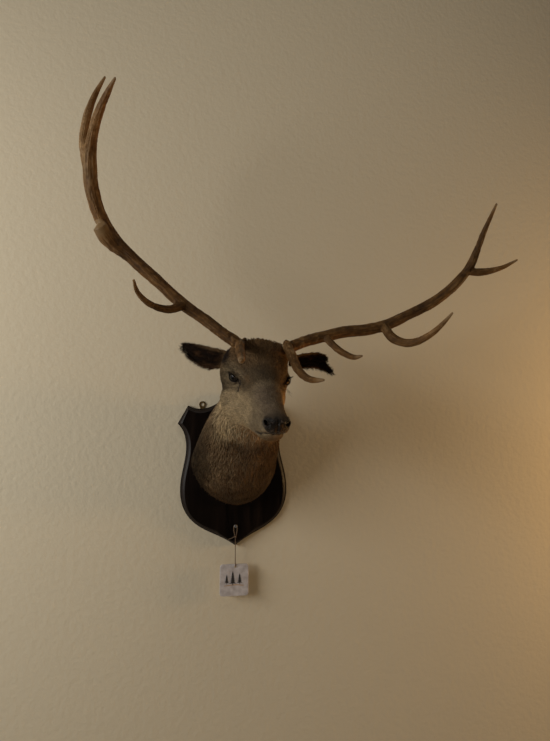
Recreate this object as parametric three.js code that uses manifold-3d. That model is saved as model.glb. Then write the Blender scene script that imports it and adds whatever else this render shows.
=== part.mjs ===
// Red deer stag head and neck on a dark wooden shield, with a small hanging tag.
// Units are millimetres. The wall plane is y = 0, the stag looks along -Y, +Z is up and
// +X is the stag's left. The origin is on the board's back face.
import * as THREE from 'three';
import { mergeVertices } from 'three/addons/utils/BufferGeometryUtils.js';
import Module from 'manifold-3d';

const wasm = await Module();
wasm.setup();

// ---------------------------------------------------------------- driving dimensions
// The clearance between neighbouring solids.
const GAP = 0.3;
// How finely round forms are divided: around, and from pole to pole.
const FACETS = {
  ball: [10, 7], eye: [14, 8], burr: 14, board: 4, hanger: 7, nailHole: 12, nail: 8,
  nailHead: [10, 6], knot: [8, 6], twine: 4, loop: 24, drop: 14, plate: 5,
};

const BOARD = {
  centreX: -6, lean: 1.5, thickness: 24, backSlab: 13, step: 4, bevel: 8, frontOverlap: 8,
};
// The right half of the shield's outline, from the foot to the peak. A row holds one curve's
// control points and its end, each as x, height, and which way it moves when inset.
const SHIELD = [
  [[0, -229, 0, 1]],
  [[22, -212, 0, 0], [60, -193, 0, 1]],
  [[110, -170, 0, 1], [174, -140, -1, 0], [174, -50, -1, 0]],
  [[174, 5, -1, 0], [154, 40, -1, 0], [153, 92, -1, 0]],
  [[154, 140, -1, 0], [180, 166, -1, 0]],
  [[146, 224, 0, -1]],
  [[104, 198, 0, -1], [50, 230, 0, -1]],
  [[20, 248, 0, -1], [0, 256, 0, -1]],
];
const HANGER = {
  x: 99, ringZ: 227, outer: 11, hole: 6, tabWidth: 15, tabLength: 48, thickness: 2,
};

const HEAD = {
  eyeMiddle: [23, -386, 273], yaw: 1.75, pitch: 31, roll: 2.25, sides: 22, steps: 17,
};
const EYE = { radius: 19.5, x: 64.5, y: 5, z: 0 };
const NOSTRIL = { at: [23, -252, 1], radii: [7, 9, 5.5] };
const LIDS = { at: [84, -4, 0], radii: [12, 22, 14] };
const JAW_SIDES = 18;
const JAW_STEPS = 11;
// Where the head is parted into nodes, in the head's own frame.
const FACE_CUTS = {
  jaw: { at: [0, -200, -33], normal: [0, 0.035, 1] },
  muzzle: { at: [0, -92, 0], normal: [0, 1, 0.15] },
  nose: { at: [0, -239, 18], normal: [0, 1, 0.28] },
};
const NECK_CUT = { y: -298, z: 270, slope: 0.06 };
const NECK_SIDES = 28;
const NECK_STEPS = 13;

// Distances along the head from between the eyes (y, towards the nose negative), with the
// height of the top and the underside, the half width, the height where it is widest, and
// how square the upper and lower halves are (2 is an ellipse).
const SKULL_STATIONS = [
  { y: -257, x: 0, top: 6, bottom: -13, half: 14, wide: -4, upper: 2.2, lower: 2.2 },
  { y: -253, x: 0, top: 14, bottom: -22, half: 24, wide: -4, upper: 2.4, lower: 2.4 },
  { y: -243, x: 0, top: 20, bottom: -31, half: 32, wide: -5, upper: 2.4, lower: 2.6 },
  { y: -228, x: -0.5, top: 24, bottom: -38, half: 35.5, wide: -10, upper: 2.2, lower: 2.8 },
  { y: -208, x: -1.5, top: 27, bottom: -43, half: 35.5, wide: -17, upper: 2.1, lower: 2.7 },
  { y: -175, x: -2, top: 31, bottom: -50, half: 39, wide: -22, upper: 2.1, lower: 2.5 },
  { y: -140, x: -2, top: 36, bottom: -58, half: 44.5, wide: -25, upper: 2.1, lower: 2.3 },
  { y: -100, x: -2.5, top: 43, bottom: -74, half: 49.5, wide: -28, upper: 2.1, lower: 2.2 },
  { y: -60, x: -3, top: 51, bottom: -90, half: 56, wide: -26, upper: 2.2, lower: 2.1 },
  { y: -28, x: -2, top: 58, bottom: -100, half: 63, wide: -18, upper: 2.4, lower: 2.0 },
  { y: 0, x: -4.5, top: 65, bottom: -104, half: 73.5, wide: -6, upper: 2.5, lower: 2.0 },
  { y: 28, x: -11.5, top: 70, bottom: -104, half: 90.5, wide: -4, upper: 2.4, lower: 2.0 },
  { y: 58, x: -11.5, top: 74, bottom: -100, half: 94.5, wide: -3, upper: 2.2, lower: 2.0 },
  { y: 92, x: -8, top: 68, bottom: -90, half: 88, wide: -4, upper: 2.1, lower: 2.0 },
  { y: 125, x: 0, top: 45, bottom: -74, half: 72, wide: -8, upper: 2.0, lower: 2.0 },
];
const JAW_STATIONS = [
  { y: -238, x: 0, top: -30, bottom: -44, half: 13, wide: -37, upper: 2, lower: 2.2 },
  { y: -233, x: 0, top: -24, bottom: -55, half: 23, wide: -40, upper: 2, lower: 2.3 },
  { y: -218, x: 0, top: -20, bottom: -66, half: 30, wide: -44, upper: 2, lower: 2.3 },
  { y: -190, x: 0, top: -20, bottom: -76, half: 36, wide: -46, upper: 2, lower: 2.2 },
  { y: -158, x: -1, top: -20, bottom: -84, half: 44, wide: -50, upper: 2, lower: 2.2 },
  { y: -122, x: -3, top: -20, bottom: -93, half: 54, wide: -56, upper: 2, lower: 2.3 },
  { y: -88, x: -5, top: -20, bottom: -108, half: 60, wide: -62, upper: 2, lower: 2.4 },
  { y: -54, x: -11, top: -20, bottom: -120, half: 71, wide: -68, upper: 2, lower: 2.4 },
  { y: -18, x: -17, top: -20, bottom: -129, half: 79, wide: -70, upper: 2, lower: 2.4 },
  { y: 20, x: -20, top: -20, bottom: -132, half: 83, wide: -70, upper: 2, lower: 2.2 },
  { y: 60, x: -13, top: -30, bottom: -124, half: 73, wide: -68, upper: 2, lower: 2.0 },
];
// The neck's rings stand upright: y is the distance from the wall. The lowest point of a ring
// stands aside by its skew.
const NECK_STATIONS = [
  { y: -24.3, x: -14, top: 195, bottom: -98, half: 134, wide: 30, upper: 1.5, lower: 1.8, skew: 16 },
  { y: -70, x: -13, top: 218, bottom: -92, half: 132, wide: 46, upper: 1.5, lower: 1.85, skew: 12 },
  { y: -120, x: -11, top: 244, bottom: -72, half: 127, wide: 68, upper: 1.5, lower: 2.0, skew: 6 },
  { y: -170, x: -8, top: 271, bottom: -38, half: 120, wide: 98, upper: 1.5, lower: 2.0, skew: 0 },
  { y: -220, x: 0, top: 300, bottom: 12, half: 110, wide: 134, upper: 1.35, lower: 1.9, skew: 0 },
  { y: -262, x: 11, top: 326, bottom: 76, half: 90, wide: 184, upper: 1.45, lower: 1.9, skew: 0 },
  { y: -295, x: 15, top: 345, bottom: 133, half: 84, wide: 226, upper: 1.8, lower: 2.0, skew: 0 },
  { y: -318, x: 17, top: 345, bottom: 151, half: 88, wide: 238, upper: 2.0, lower: 2.2, skew: 0 },
  { y: -340, x: 17, top: 335, bottom: 159, half: 84, wide: 234, upper: 2.2, lower: 2.4, skew: 0 },
  { y: -362, x: 18, top: 318, bottom: 166, half: 75, wide: 230, upper: 2.2, lower: 2.4, skew: 0 },
  { y: -384, x: 19, top: 290, bottom: 176, half: 60, wide: 226, upper: 2.0, lower: 2.2, skew: 0 },
  { y: -402, x: 20, top: 255, bottom: 190, half: 38, wide: 222, upper: 2.0, lower: 2.0, skew: 0 },
];

// Round swellings of the head: middle and radii, mirrored to both sides where x is not 0.
const SWELLINGS = [
  { at: [52, 14, 20], radii: [20, 30, 17] },
  { at: [51, 24, -50], radii: [28, 62, 48] },
  { at: [70, 92, 22], radii: [25, 27, 27] },
  { at: [53, 58, 57], radii: [28, 30, 25] },
  { at: [0, 52, 66], radii: [72, 40, 25] },
];

// Each ear has its share of the full width at even steps from base to tip. Its middle rises
// by droop on the way, most where the length to the power bend is a half. The upper edge of
// the left ear is torn away towards the tip.
const EAR_LENGTHS = 14;
const EAR_WIDE = 6;
const TEAR = { from: 0.79, to: 0.85 };
const EARS = {
  right: {
    base: [-56, -318, 332], tip: [-184, -285, 374], facing: [-0.12, -0.93, -0.34],
    width: 28, cup: 17, thickness: 7, droop: -10, bend: 1, torn: 0,
    widths: [0.78, 0.92, 1, 0.98, 0.9, 0.74, 0.48, 0.12],
  },
  left: {
    base: [118, -318, 334], tip: [248, -300, 308], facing: [0.15, -0.95, -0.28],
    width: 20, cup: 12, thickness: 7, droop: 22, bend: 1.5, torn: 0.8,
    widths: [0.8, 0.9, 0.95, 1, 1, 0.98, 0.8, 0.2],
  },
};

// Antler curves, base to tip, with the beam's radius at each point.
const ANTLERS = {
  right: {
    burr: [-23, -380, 360],
    beam: [
      [-23, -379, 358, 17], [-70, -372, 389.5, 16], [-126, -362, 433, 16],
      [-189, -358, 477, 16.5], [-256, -362, 535, 17], [-326, -372, 594, 18],
      [-372, -384, 639, 18], [-406, -402, 693, 18.5], [-422, -426, 744, 19],
      [-427, -456, 796, 18], [-420, -492, 849, 14.5], [-402, -528, 896, 11.5],
      [-379, -560, 933, 8], [-357, -590, 958, 3],
    ],
    cuts: { bez: 3.1, trez: 6.1, crown: 8.6 },
    brow_tine: [[-31, -392, 366, 12.5], [-41, -450, 349, 12], [-48, -520, 322, 11],
      [-54, -590, 298, 9.5], [-59, -630, 286, 6.5]],
    bez_tine: [[-186, -362, 471, 13], [-218, -392, 452, 11.5], [-251, -418, 449, 10],
      [-280, -446, 458, 8.5], [-301, -468, 477, 6.5], [-308, -496, 498, 3]],
    trez_stub: [[-366, -382, 614, 16], [-390, -393, 638, 20], [-404, -406, 660, 19]],
    crown_tine: [[-424, -440, 765, 14], [-438, -450, 815, 12.5], [-443, -468, 868, 11],
      [-431, -488, 925, 9.5], [-412, -505, 967, 7], [-389, -524, 1001, 3]],
  },
  left: {
    burr: [95, -380, 357],
    beam: [
      [95, -379, 355, 17], [144, -370, 379, 16], [210, -360, 399, 16],
      [271, -354, 415, 17], [332, -352, 423, 17], [392, -354, 438, 16.5],
      [458, -362, 469, 15.5], [526, -376, 504, 15], [586, -396, 551, 14.5],
      [626, -420, 604, 13], [638, -446, 647, 10], [642, -474, 685, 8],
      [646, -504, 717, 6.5], [649, -536, 749, 3],
    ],
    cuts: { bez: 2.4, trez: 5.2, crown: 8.5 },
    brow_tine: [[96, -392, 361, 13], [97, -440, 330, 13.5], [103, -490, 287, 11.5],
      [114, -540, 260, 9.5], [126, -580, 251, 7.5], [138, -610, 249, 3]],
    bez_tine: [[208, -362, 398, 11], [229, -402, 361, 10], [246, -440, 336.5, 9],
      [260, -472, 325, 7.5], [270, -500, 325, 3]],
    trez_tine: [[386, -356, 436, 14], [397, -396, 394, 13.5], [415, -436, 374, 12],
      [434, -478, 372, 11], [453, -514, 384, 9], [472, -548, 407, 6.5], [485, -578, 430, 3]],
    crown_tine: [[616, -415, 593, 10], [658, -424, 590, 11.5], [690, -434, 594, 9],
      [720, -446, 603, 6.5], [752, -464, 620, 3]],
  },
};
// The burr's profile is radius and height as shares of the beam's radius and its own height.
const BURR = {
  height: 13, clearance: 1.035,
  profile: [[0, 0], [1.05, 0], [1.25, 0.35], [1.21, 0.7], [1.12, 1], [0, 1]],
};
const TINES = ['brow_tine', 'bez_tine', 'trez_stub', 'trez_tine', 'crown_tine'];
const ANTLER_SIDES = 9;
const ANTLER_STEP = 32;

const TAG = {
  nailZ: -166, nailX: -1, headRadius: 6, headThick: 3, shank: 1.6, shankDepth: 14, stand: 9,
  twine: 1.3, knotY: -27.3, knotZ: -200, knotRadii: [3.6, 2.5, 3.2], holeZ: -292,
  plateTop: -283, width: 92, height: 98, corner: 10, thickness: 5, holeRadius: 3.6,
  plateX: -4, plateY: -30.5,
};
// The twine's route from the knot round the nail and back.
const LOOP_ROUTE = [
  [-2.9, -26.9, -196.1], [-5.4, -26.9, -186], [-6.3, -26.9, -176], [-6.3, -26.9, -168.1],
  [-4.75, -26.9, -164.35], [-1, -26.9, -162.8], [2.75, -26.9, -164.35], [4.3, -26.9, -168.1],
  [4.3, -26.9, -176], [3.4, -26.9, -186], [0.9, -26.9, -196.1],
];
// The twine's route from under the knot to the hole in the plate.
const DROP_ROUTE = [
  [-1, -27, -203.8], [-1.1, -27.4, -212], [-1.3, -28.4, -224], [-1.5, -30, -238],
  [-1.6, -31.7, -252], [-1.7, -33.3, -264], [-1.7, -34.6, -275], [-1.5, -35, -282],
  [-1.2, -35, -287.5], [-1, -34.6, -290.4], [-1, -33.6, -292.6],
];

// ---------------------------------------------------------------- materials
const colours = {
  board: [0x17120f, 0.45, 0], brass: [0xb08a45, 0.35, 1], coat: [0x5b4a3d, 0.95, 0],
  face: [0x6d5f52, 0.95, 0], nose: [0x141213, 0.35, 0], eye: [0x0c0908, 0.08, 0],
  antler: [0x4a372a, 0.7, 0], steel: [0x55585a, 0.4, 1], twine: [0x8a7556, 0.95, 0],
  plate: [0xc9c6c0, 0.5, 0],
};
const materials = {};
for (const [name, [color, roughness, metalness]] of Object.entries(colours)) {
  materials[name] = new THREE.MeshStandardMaterial({ color, roughness, metalness });
}

// ---------------------------------------------------------------- solids and booleans
function toSolid(geometry) {
  const plain = geometry.clone();
  for (const name of Object.keys(plain.attributes)) {
    if (name !== 'position') plain.deleteAttribute(name);
  }
  const merged = mergeVertices(plain, 1e-4);
  const vertProperties = new Float32Array(merged.attributes.position.array);
  const triVerts = new Uint32Array(merged.index.array);
  return new wasm.Manifold(new wasm.Mesh({ numProp: 3, vertProperties, triVerts }));
}

function toGeometry(solid) {
  const mesh = solid.getMesh();
  const geometry = new THREE.BufferGeometry();
  geometry.setAttribute('position', new THREE.BufferAttribute(mesh.vertProperties, 3));
  geometry.setIndex(new THREE.BufferAttribute(mesh.triVerts, 1));
  return geometry;
}

// The largest body of a solid that a cut may have left in several.
function mainBody(solid) {
  return solid.decompose().sort((a, b) => b.volume() - a.volume())[0];
}

const group = new THREE.Group();

function addPiece(name, geometry, material) {
  const mesh = new THREE.Mesh(geometry, materials[material]);
  mesh.name = name;
  group.add(mesh);
}

// A closed skin through rings that have the same number of points, with a fan at each end.
function loft(rings) {
  const count = rings[0].length;
  const positions = rings.flat().flatMap((p) => [p.x, p.y, p.z]);
  const indices = [];
  for (let r = 0; r + 1 < rings.length; r++) {
    for (let i = 0; i < count; i++) {
      const a = r * count + i;
      const b = r * count + ((i + 1) % count);
      indices.push(a, b, a + count, b, b + count, a + count);
    }
  }
  for (const last of [false, true]) {
    const ring = rings[last ? rings.length - 1 : 0];
    const start = last ? (rings.length - 1) * count : 0;
    const middle = ring.reduce((sum, p) => sum.add(p), new THREE.Vector3()).divideScalar(count);
    const centre = positions.length / 3;
    positions.push(middle.x, middle.y, middle.z);
    for (let i = 0; i < count; i++) {
      const a = start + i;
      const b = start + ((i + 1) % count);
      if (last) indices.push(a, b, centre);
      else indices.push(b, a, centre);
    }
  }
  const geometry = new THREE.BufferGeometry();
  geometry.setAttribute('position', new THREE.Float32BufferAttribute(positions, 3));
  geometry.setIndex(indices);
  return outward(geometry);
}

// Turns a closed geometry's faces outward where they point in.
function outward(geometry) {
  const p = geometry.attributes.position;
  const index = geometry.index.array;
  let volume = 0;
  const [a, b, c] = [new THREE.Vector3(), new THREE.Vector3(), new THREE.Vector3()];
  for (let i = 0; i < index.length; i += 3) {
    a.fromBufferAttribute(p, index[i]);
    b.fromBufferAttribute(p, index[i + 1]);
    c.fromBufferAttribute(p, index[i + 2]);
    volume += a.dot(b.cross(c));
  }
  if (volume < 0) {
    for (let i = 0; i < index.length; i += 3) {
      [index[i + 1], index[i + 2]] = [index[i + 2], index[i + 1]];
    }
  }
  return geometry;
}

// ---------------------------------------------------------------- stations and rings
// Smooth values between the stations, which are rows of named numbers.
function between(stations, t) {
  const at = t * (stations.length - 1);
  const i = Math.min(Math.floor(at), stations.length - 2);
  const f = at - i;
  const row = {};
  for (const key of Object.keys(stations[0])) {
    const p = [-1, 0, 1, 2].map((k) => {
      const j = Math.min(Math.max(i + k, 0), stations.length - 1);
      return stations[j][key];
    });
    const slope0 = (p[2] - p[0]) / 2;
    const slope1 = (p[3] - p[1]) / 2;
    const rise = p[2] - p[1];
    row[key] = p[1] + f * (slope0 + f * (3 * rise - 2 * slope0 - slope1
      + f * (slope0 + slope1 - 2 * rise)));
  }
  return row;
}

function stationRing(row, sides, grow) {
  const ring = [];
  for (let i = 0; i < sides; i++) {
    const angle = (2 * Math.PI * i) / sides;
    const c = Math.cos(angle);
    const s = Math.sin(angle);
    const square = 2 / (s > 0 ? row.upper : row.lower);
    const reach = (s > 0 ? row.top - row.wide : row.wide - row.bottom) + grow;
    const x = row.x + (row.half + grow) * Math.sign(c) * Math.abs(c) ** square
      + (row.skew ?? 0) * Math.max(-s, 0);
    const z = row.wide + reach * Math.sign(s) * Math.abs(s) ** square;
    ring.push(new THREE.Vector3(x, row.y, z));
  }
  return ring;
}

function stationLoft(stations, sides, steps, grow) {
  const rings = [];
  for (let i = 0; i <= steps; i++) {
    rings.push(stationRing(between(stations, i / steps), sides, grow));
  }
  return loft(rings);
}

// ---------------------------------------------------------------- head and neck
const headPlace = new THREE.Matrix4()
  .makeRotationZ(THREE.MathUtils.degToRad(HEAD.yaw))
  .multiply(new THREE.Matrix4().makeRotationX(THREE.MathUtils.degToRad(HEAD.pitch)))
  .multiply(new THREE.Matrix4().makeRotationY(THREE.MathUtils.degToRad(HEAD.roll)))
  .setPosition(...HEAD.eyeMiddle);

function fromHead(x, y, z) {
  return new THREE.Vector3(x, y, z).applyMatrix4(headPlace);
}

function headSolid(geometry) {
  return toSolid(geometry.applyMatrix4(headPlace));
}

function ellipsoid(at, radii, grow, facets = FACETS.ball) {
  const sphere = new THREE.SphereGeometry(1, ...facets);
  sphere.scale(...radii.map((r) => r + grow));
  sphere.translate(...at);
  return sphere;
}

function fleshSolid(grow) {
  let flesh = headSolid(stationLoft(SKULL_STATIONS, HEAD.sides, HEAD.steps, grow));
  flesh = flesh.add(headSolid(stationLoft(JAW_STATIONS, JAW_SIDES, JAW_STEPS, grow)));
  for (const { at, radii } of SWELLINGS) {
    for (const side of at[0] === 0 ? [1] : [-1, 1]) {
      flesh = flesh.add(headSolid(ellipsoid([side * at[0], at[1], at[2]], radii, grow)));
    }
  }
  return flesh.add(toSolid(stationLoft(NECK_STATIONS, NECK_SIDES, NECK_STEPS, grow)));
}

// Keeps the part of a solid on one side of a plane given by a point and a normal.
function keepSide(solid, point, normal) {
  const n = normal.clone().normalize();
  return solid.trimByPlane([n.x, n.y, n.z], n.dot(point));
}

function parted(solid, point, normal) {
  const n = normal.clone().normalize();
  const half = GAP / 2;
  const ahead = keepSide(solid, point.clone().addScaledVector(n, half), n);
  const behind = keepSide(solid, point.clone().addScaledVector(n, -half), n.clone().negate());
  return [ahead, behind];
}

function headDirection(x, y, z) {
  return new THREE.Vector3(x, y, z).transformDirection(headPlace);
}

function buildFlesh() {
  let flesh = fleshSolid(0);
  for (const side of [-1, 1]) {
    const at = [side * EYE.x, EYE.y, EYE.z];
    const radii = [EYE.radius, EYE.radius, EYE.radius];
    flesh = flesh.subtract(headSolid(ellipsoid(at, radii, GAP, FACETS.eye)));
    const lidsAt = [side * LIDS.at[0], LIDS.at[1], LIDS.at[2]];
    flesh = flesh.subtract(headSolid(ellipsoid(lidsAt, LIDS.radii, 0)));
    const nostrilAt = [side * NOSTRIL.at[0], NOSTRIL.at[1], NOSTRIL.at[2]];
    flesh = flesh.subtract(headSolid(ellipsoid(nostrilAt, NOSTRIL.radii, 0)));
    addPiece(side < 0 ? 'eye_right' : 'eye_left',
      ellipsoid(at, radii, 0, FACETS.eye).applyMatrix4(headPlace), 'eye');
  }
  const nape = new THREE.Vector3(0, NECK_CUT.y, NECK_CUT.z);
  const [neck, head] = parted(flesh, nape, new THREE.Vector3(0, 1, NECK_CUT.slope));
  const partedAt = (solid, { at, normal }) => parted(
    solid, fromHead(...at), headDirection(...normal),
  );
  const [upper, jaw] = partedAt(head, FACE_CUTS.jaw);
  const [face, muzzleAndNose] = partedAt(upper, FACE_CUTS.muzzle);
  const [muzzle, nose] = partedAt(muzzleAndNose, FACE_CUTS.nose);
  addPiece('neck', toGeometry(mainBody(neck)), 'coat');
  addPiece('head_skull', toGeometry(mainBody(face)), 'face');
  addPiece('head_muzzle', toGeometry(mainBody(muzzle)), 'face');
  addPiece('head_nose_pad', toGeometry(mainBody(nose)), 'nose');
  addPiece('head_lower_jaw', toGeometry(mainBody(jaw)), 'face');
}

// ---------------------------------------------------------------- ears
// A cupped leaf from base to tip, open towards the facing direction.
function earGeometry(ear) {
  const base = new THREE.Vector3(...ear.base);
  const tip = new THREE.Vector3(...ear.tip);
  const along = tip.clone().sub(base);
  const length = along.length();
  along.normalize();
  const facing = new THREE.Vector3(...ear.facing);
  facing.addScaledVector(along, -facing.dot(along)).normalize();
  const across = new THREE.Vector3().crossVectors(facing, along).normalize();
  const lower = across.z < 0 ? 1 : -1;
  const widths = ear.widths.map((share) => ({ share }));
  const rings = [];
  for (let i = 0; i <= EAR_LENGTHS; i++) {
    const t = i / EAR_LENGTHS;
    const belly = between(widths, t).share;
    const gone = ear.torn * THREE.MathUtils.smoothstep(t, TEAR.from, TEAR.to);
    const half = ear.width * belly;
    const cup = ear.cup * (1 - 0.75 * t) * belly;
    const wall = ear.thickness * (1 - 0.45 * t);
    const front = [];
    const back = [];
    for (let j = 0; j <= EAR_WIDE; j++) {
      const v = (2 * j) / EAR_WIDE - 1;
      const torn = v * lower < 0 ? 1 - gone : 1;
      const point = base.clone()
        .addScaledVector(along, length * t)
        .addScaledVector(across, half * v * torn)
        .addScaledVector(facing, cup * (v * v - 0.5));
      point.z += ear.droop * Math.sin(Math.PI * t ** ear.bend);
      front.push(point.clone());
      back.push(point.addScaledVector(facing, -wall * (1 - 0.75 * v * v)));
    }
    rings.push([...front, ...back.reverse()]);
  }
  return loft(rings);
}

// ---------------------------------------------------------------- antlers
function antlerCurve(rows) {
  return new THREE.CatmullRomCurve3(rows.map(([x, y, z]) => new THREE.Vector3(x, y, z)),
    false, 'centripetal');
}

// A round tube along the rows from one row number to another, following their radii.
function taperedTube(rows, from, to, grow = 0) {
  const curve = antlerCurve(rows);
  const last = rows.length - 1;
  const length = curve.getLength() * ((to - from) / last);
  const steps = Math.max(3, Math.round(length / ANTLER_STEP));
  const rings = [];
  let side = new THREE.Vector3(0, -1, 0.3);
  for (let i = 0; i <= steps; i++) {
    const at = from + ((to - from) * i) / steps;
    const t = at / last;
    const centre = curve.getPoint(t);
    const tangent = curve.getTangent(t);
    side = side.clone().addScaledVector(tangent, -side.dot(tangent)).normalize();
    const other = new THREE.Vector3().crossVectors(tangent, side);
    const row = Math.min(Math.floor(at), last - 1);
    const radius = THREE.MathUtils.lerp(rows[row][3], rows[row + 1][3], at - row) + grow;
    const ring = [];
    for (let k = 0; k < ANTLER_SIDES; k++) {
      const angle = (2 * Math.PI * k) / ANTLER_SIDES;
      ring.push(centre.clone().addScaledVector(side, radius * Math.cos(angle))
        .addScaledVector(other, radius * Math.sin(angle)));
    }
    rings.push(ring);
  }
  return loft(rings);
}

function buildAntler(side, antler, fleshGrown) {
  const last = antler.beam.length - 1;
  const direction = new THREE.Vector3(...antler.beam[1].slice(0, 3))
    .sub(new THREE.Vector3(...antler.beam[0].slice(0, 3))).normalize();
  const base = new THREE.Vector3(...antler.burr);
  const beamRadius = antler.beam[0][3];
  const profile = BURR.profile.map(
    ([r, h]) => new THREE.Vector2(beamRadius * r, BURR.height * h),
  );
  const burrGeometry = new THREE.LatheGeometry(profile, FACETS.burr);
  const upright = new THREE.Vector3(0, 1, 0);
  burrGeometry.applyQuaternion(new THREE.Quaternion().setFromUnitVectors(upright, direction));
  burrGeometry.translate(...base.toArray());
  const burr = toSolid(burrGeometry).subtract(fleshGrown);
  addPiece(`antler_${side}_burr`, toGeometry(mainBody(burr)), 'antler');

  const top = base.clone().addScaledVector(direction, BURR.height + GAP);
  const whole = toSolid(taperedTube(antler.beam, 0, last)).subtract(fleshGrown);
  const beam = keepSide(whole, top, direction);
  const grown = toSolid(taperedTube(antler.beam, 0, last, GAP));
  const curve = antlerCurve(antler.beam);
  const names = ['beam_lower', 'beam_middle', 'beam_upper', 'beam_tip'];
  let rest = beam;
  Object.values(antler.cuts).forEach((cut, i) => {
    const point = curve.getPoint(cut / last);
    const [ahead, behind] = parted(rest, point, curve.getTangent(cut / last));
    addPiece(`antler_${side}_${names[i]}`, toGeometry(mainBody(behind)), 'antler');
    rest = ahead;
  });
  addPiece(`antler_${side}_${names[3]}`, toGeometry(mainBody(rest)), 'antler');

  const burrGrown = toSolid(burrGeometry.clone()
    .translate(...base.clone().negate().toArray())
    .scale(BURR.clearance, BURR.clearance, BURR.clearance)
    .translate(...base.toArray()));
  for (const name of TINES.filter((tine) => antler[tine])) {
    const rows = antler[name];
    const tine = toSolid(taperedTube(rows, 0, rows.length - 1))
      .subtract(grown).subtract(burrGrown).subtract(fleshGrown);
    addPiece(`antler_${side}_${name}`, toGeometry(mainBody(tine)), 'antler');
  }
}

// ---------------------------------------------------------------- board and hangers
function boardShape(inset) {
  const halves = [1, -1].map((side) => SHIELD.map((row) => row.map(
    ([x, z, alongX, alongZ]) => [side * (x + alongX * inset), z + alongZ * inset],
  )));
  const shape = new THREE.Shape();
  const draw = (points) => {
    if (points.length === 1) shape.lineTo(...points[0]);
    else if (points.length === 2) shape.quadraticCurveTo(...points.flat());
    else shape.bezierCurveTo(...points.flat());
  };
  const [right, left] = halves;
  shape.moveTo(...right[0][0]);
  right.slice(1).forEach(draw);
  // The left half runs back down through the same points.
  for (let i = left.length - 1; i > 0; i--) {
    draw([...left[i].slice(0, -1).reverse(), left[i - 1].at(-1)]);
  }
  return shape;
}

function buildBoard() {
  const back = new THREE.ExtrudeGeometry(boardShape(0),
    { depth: BOARD.backSlab, bevelEnabled: false, curveSegments: FACETS.board });
  const frontDepth = BOARD.thickness - BOARD.backSlab + BOARD.frontOverlap;
  const front = new THREE.ExtrudeGeometry(boardShape(BOARD.step), {
    depth: frontDepth - 2 * BOARD.bevel, curveSegments: FACETS.board, bevelEnabled: true,
    bevelThickness: BOARD.bevel, bevelSize: BOARD.bevel, bevelOffset: -BOARD.bevel,
    bevelSegments: 1,
  });
  front.translate(0, 0, BOARD.thickness - frontDepth + BOARD.bevel);
  const lean = THREE.MathUtils.degToRad(BOARD.lean);
  const place = (geometry) => {
    geometry.rotateX(Math.PI / 2);
    geometry.rotateY(-lean);
    geometry.translate(BOARD.centreX, 0, 0);
    return geometry;
  };
  let board = toSolid(place(back)).add(toSolid(place(front)));
  for (const side of [-1, 1]) {
    board = board.subtract(toSolid(place(hangerGeometry(side, GAP))));
    addPiece(side < 0 ? 'hanger_right' : 'hanger_left', place(hangerGeometry(side, 0)), 'brass');
  }
  const nailHole = new THREE.CylinderGeometry(TAG.shank + GAP, TAG.shank + GAP,
    2 * (TAG.shankDepth + GAP), FACETS.nailHole);
  nailHole.translate(TAG.nailX, -BOARD.thickness, TAG.nailZ);
  board = board.subtract(toSolid(nailHole));
  addPiece('board', toGeometry(board), 'board');
}

// A brass plate with an eye, let into the board's back, its eye above the edge.
function hangerGeometry(side, grow) {
  const shape = new THREE.Shape();
  const half = HANGER.tabWidth / 2 + grow;
  const outer = HANGER.outer + grow;
  const open = Math.asin(half / outer);
  shape.absarc(0, 0, outer, -Math.PI / 2 + open, 1.5 * Math.PI - open, false);
  shape.lineTo(-half, -HANGER.tabLength - grow);
  shape.lineTo(half, -HANGER.tabLength - grow);
  shape.closePath();
  if (grow === 0) {
    const hole = new THREE.Path();
    hole.absarc(0, 0, HANGER.hole, 0, 2 * Math.PI, true);
    shape.holes.push(hole);
  }
  const geometry = new THREE.ExtrudeGeometry(shape,
    { depth: HANGER.thickness + 2 * grow, bevelEnabled: false, curveSegments: FACETS.hanger });
  return geometry.translate(side * HANGER.x, HANGER.ringZ, -grow);
}

// ---------------------------------------------------------------- tag
function tube(route, radius, steps) {
  const points = route.map(([x, y, z]) => new THREE.Vector3(x, y, z));
  const path = new THREE.CatmullRomCurve3(points, false, 'centripetal');
  const section = new THREE.Shape();
  section.absarc(0, 0, radius, 0, 2 * Math.PI, false);
  return new THREE.ExtrudeGeometry(section,
    { steps, extrudePath: path, curveSegments: FACETS.twine, bevelEnabled: false });
}

// The plate stands upright, its middle at the origin and its hole near the top edge.
function tagPlate() {
  const [w, h, r] = [TAG.width / 2, TAG.height / 2, TAG.corner];
  const shape = new THREE.Shape();
  shape.absarc(w - r, h - r, r, 0, Math.PI / 2, false);
  shape.absarc(r - w, h - r, r, Math.PI / 2, Math.PI, false);
  shape.absarc(r - w, r - h, r, Math.PI, 1.5 * Math.PI, false);
  shape.absarc(w - r, r - h, r, 1.5 * Math.PI, 2 * Math.PI, false);
  const hole = new THREE.Path();
  hole.absarc(TAG.nailX - TAG.plateX, TAG.holeZ - TAG.plateTop + h, TAG.holeRadius,
    0, 2 * Math.PI, true);
  shape.holes.push(hole);
  const plate = new THREE.ExtrudeGeometry(shape,
    { depth: TAG.thickness, bevelEnabled: false, curveSegments: FACETS.plate });
  return plate.translate(0, 0, -TAG.thickness / 2).rotateX(Math.PI / 2);
}

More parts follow.
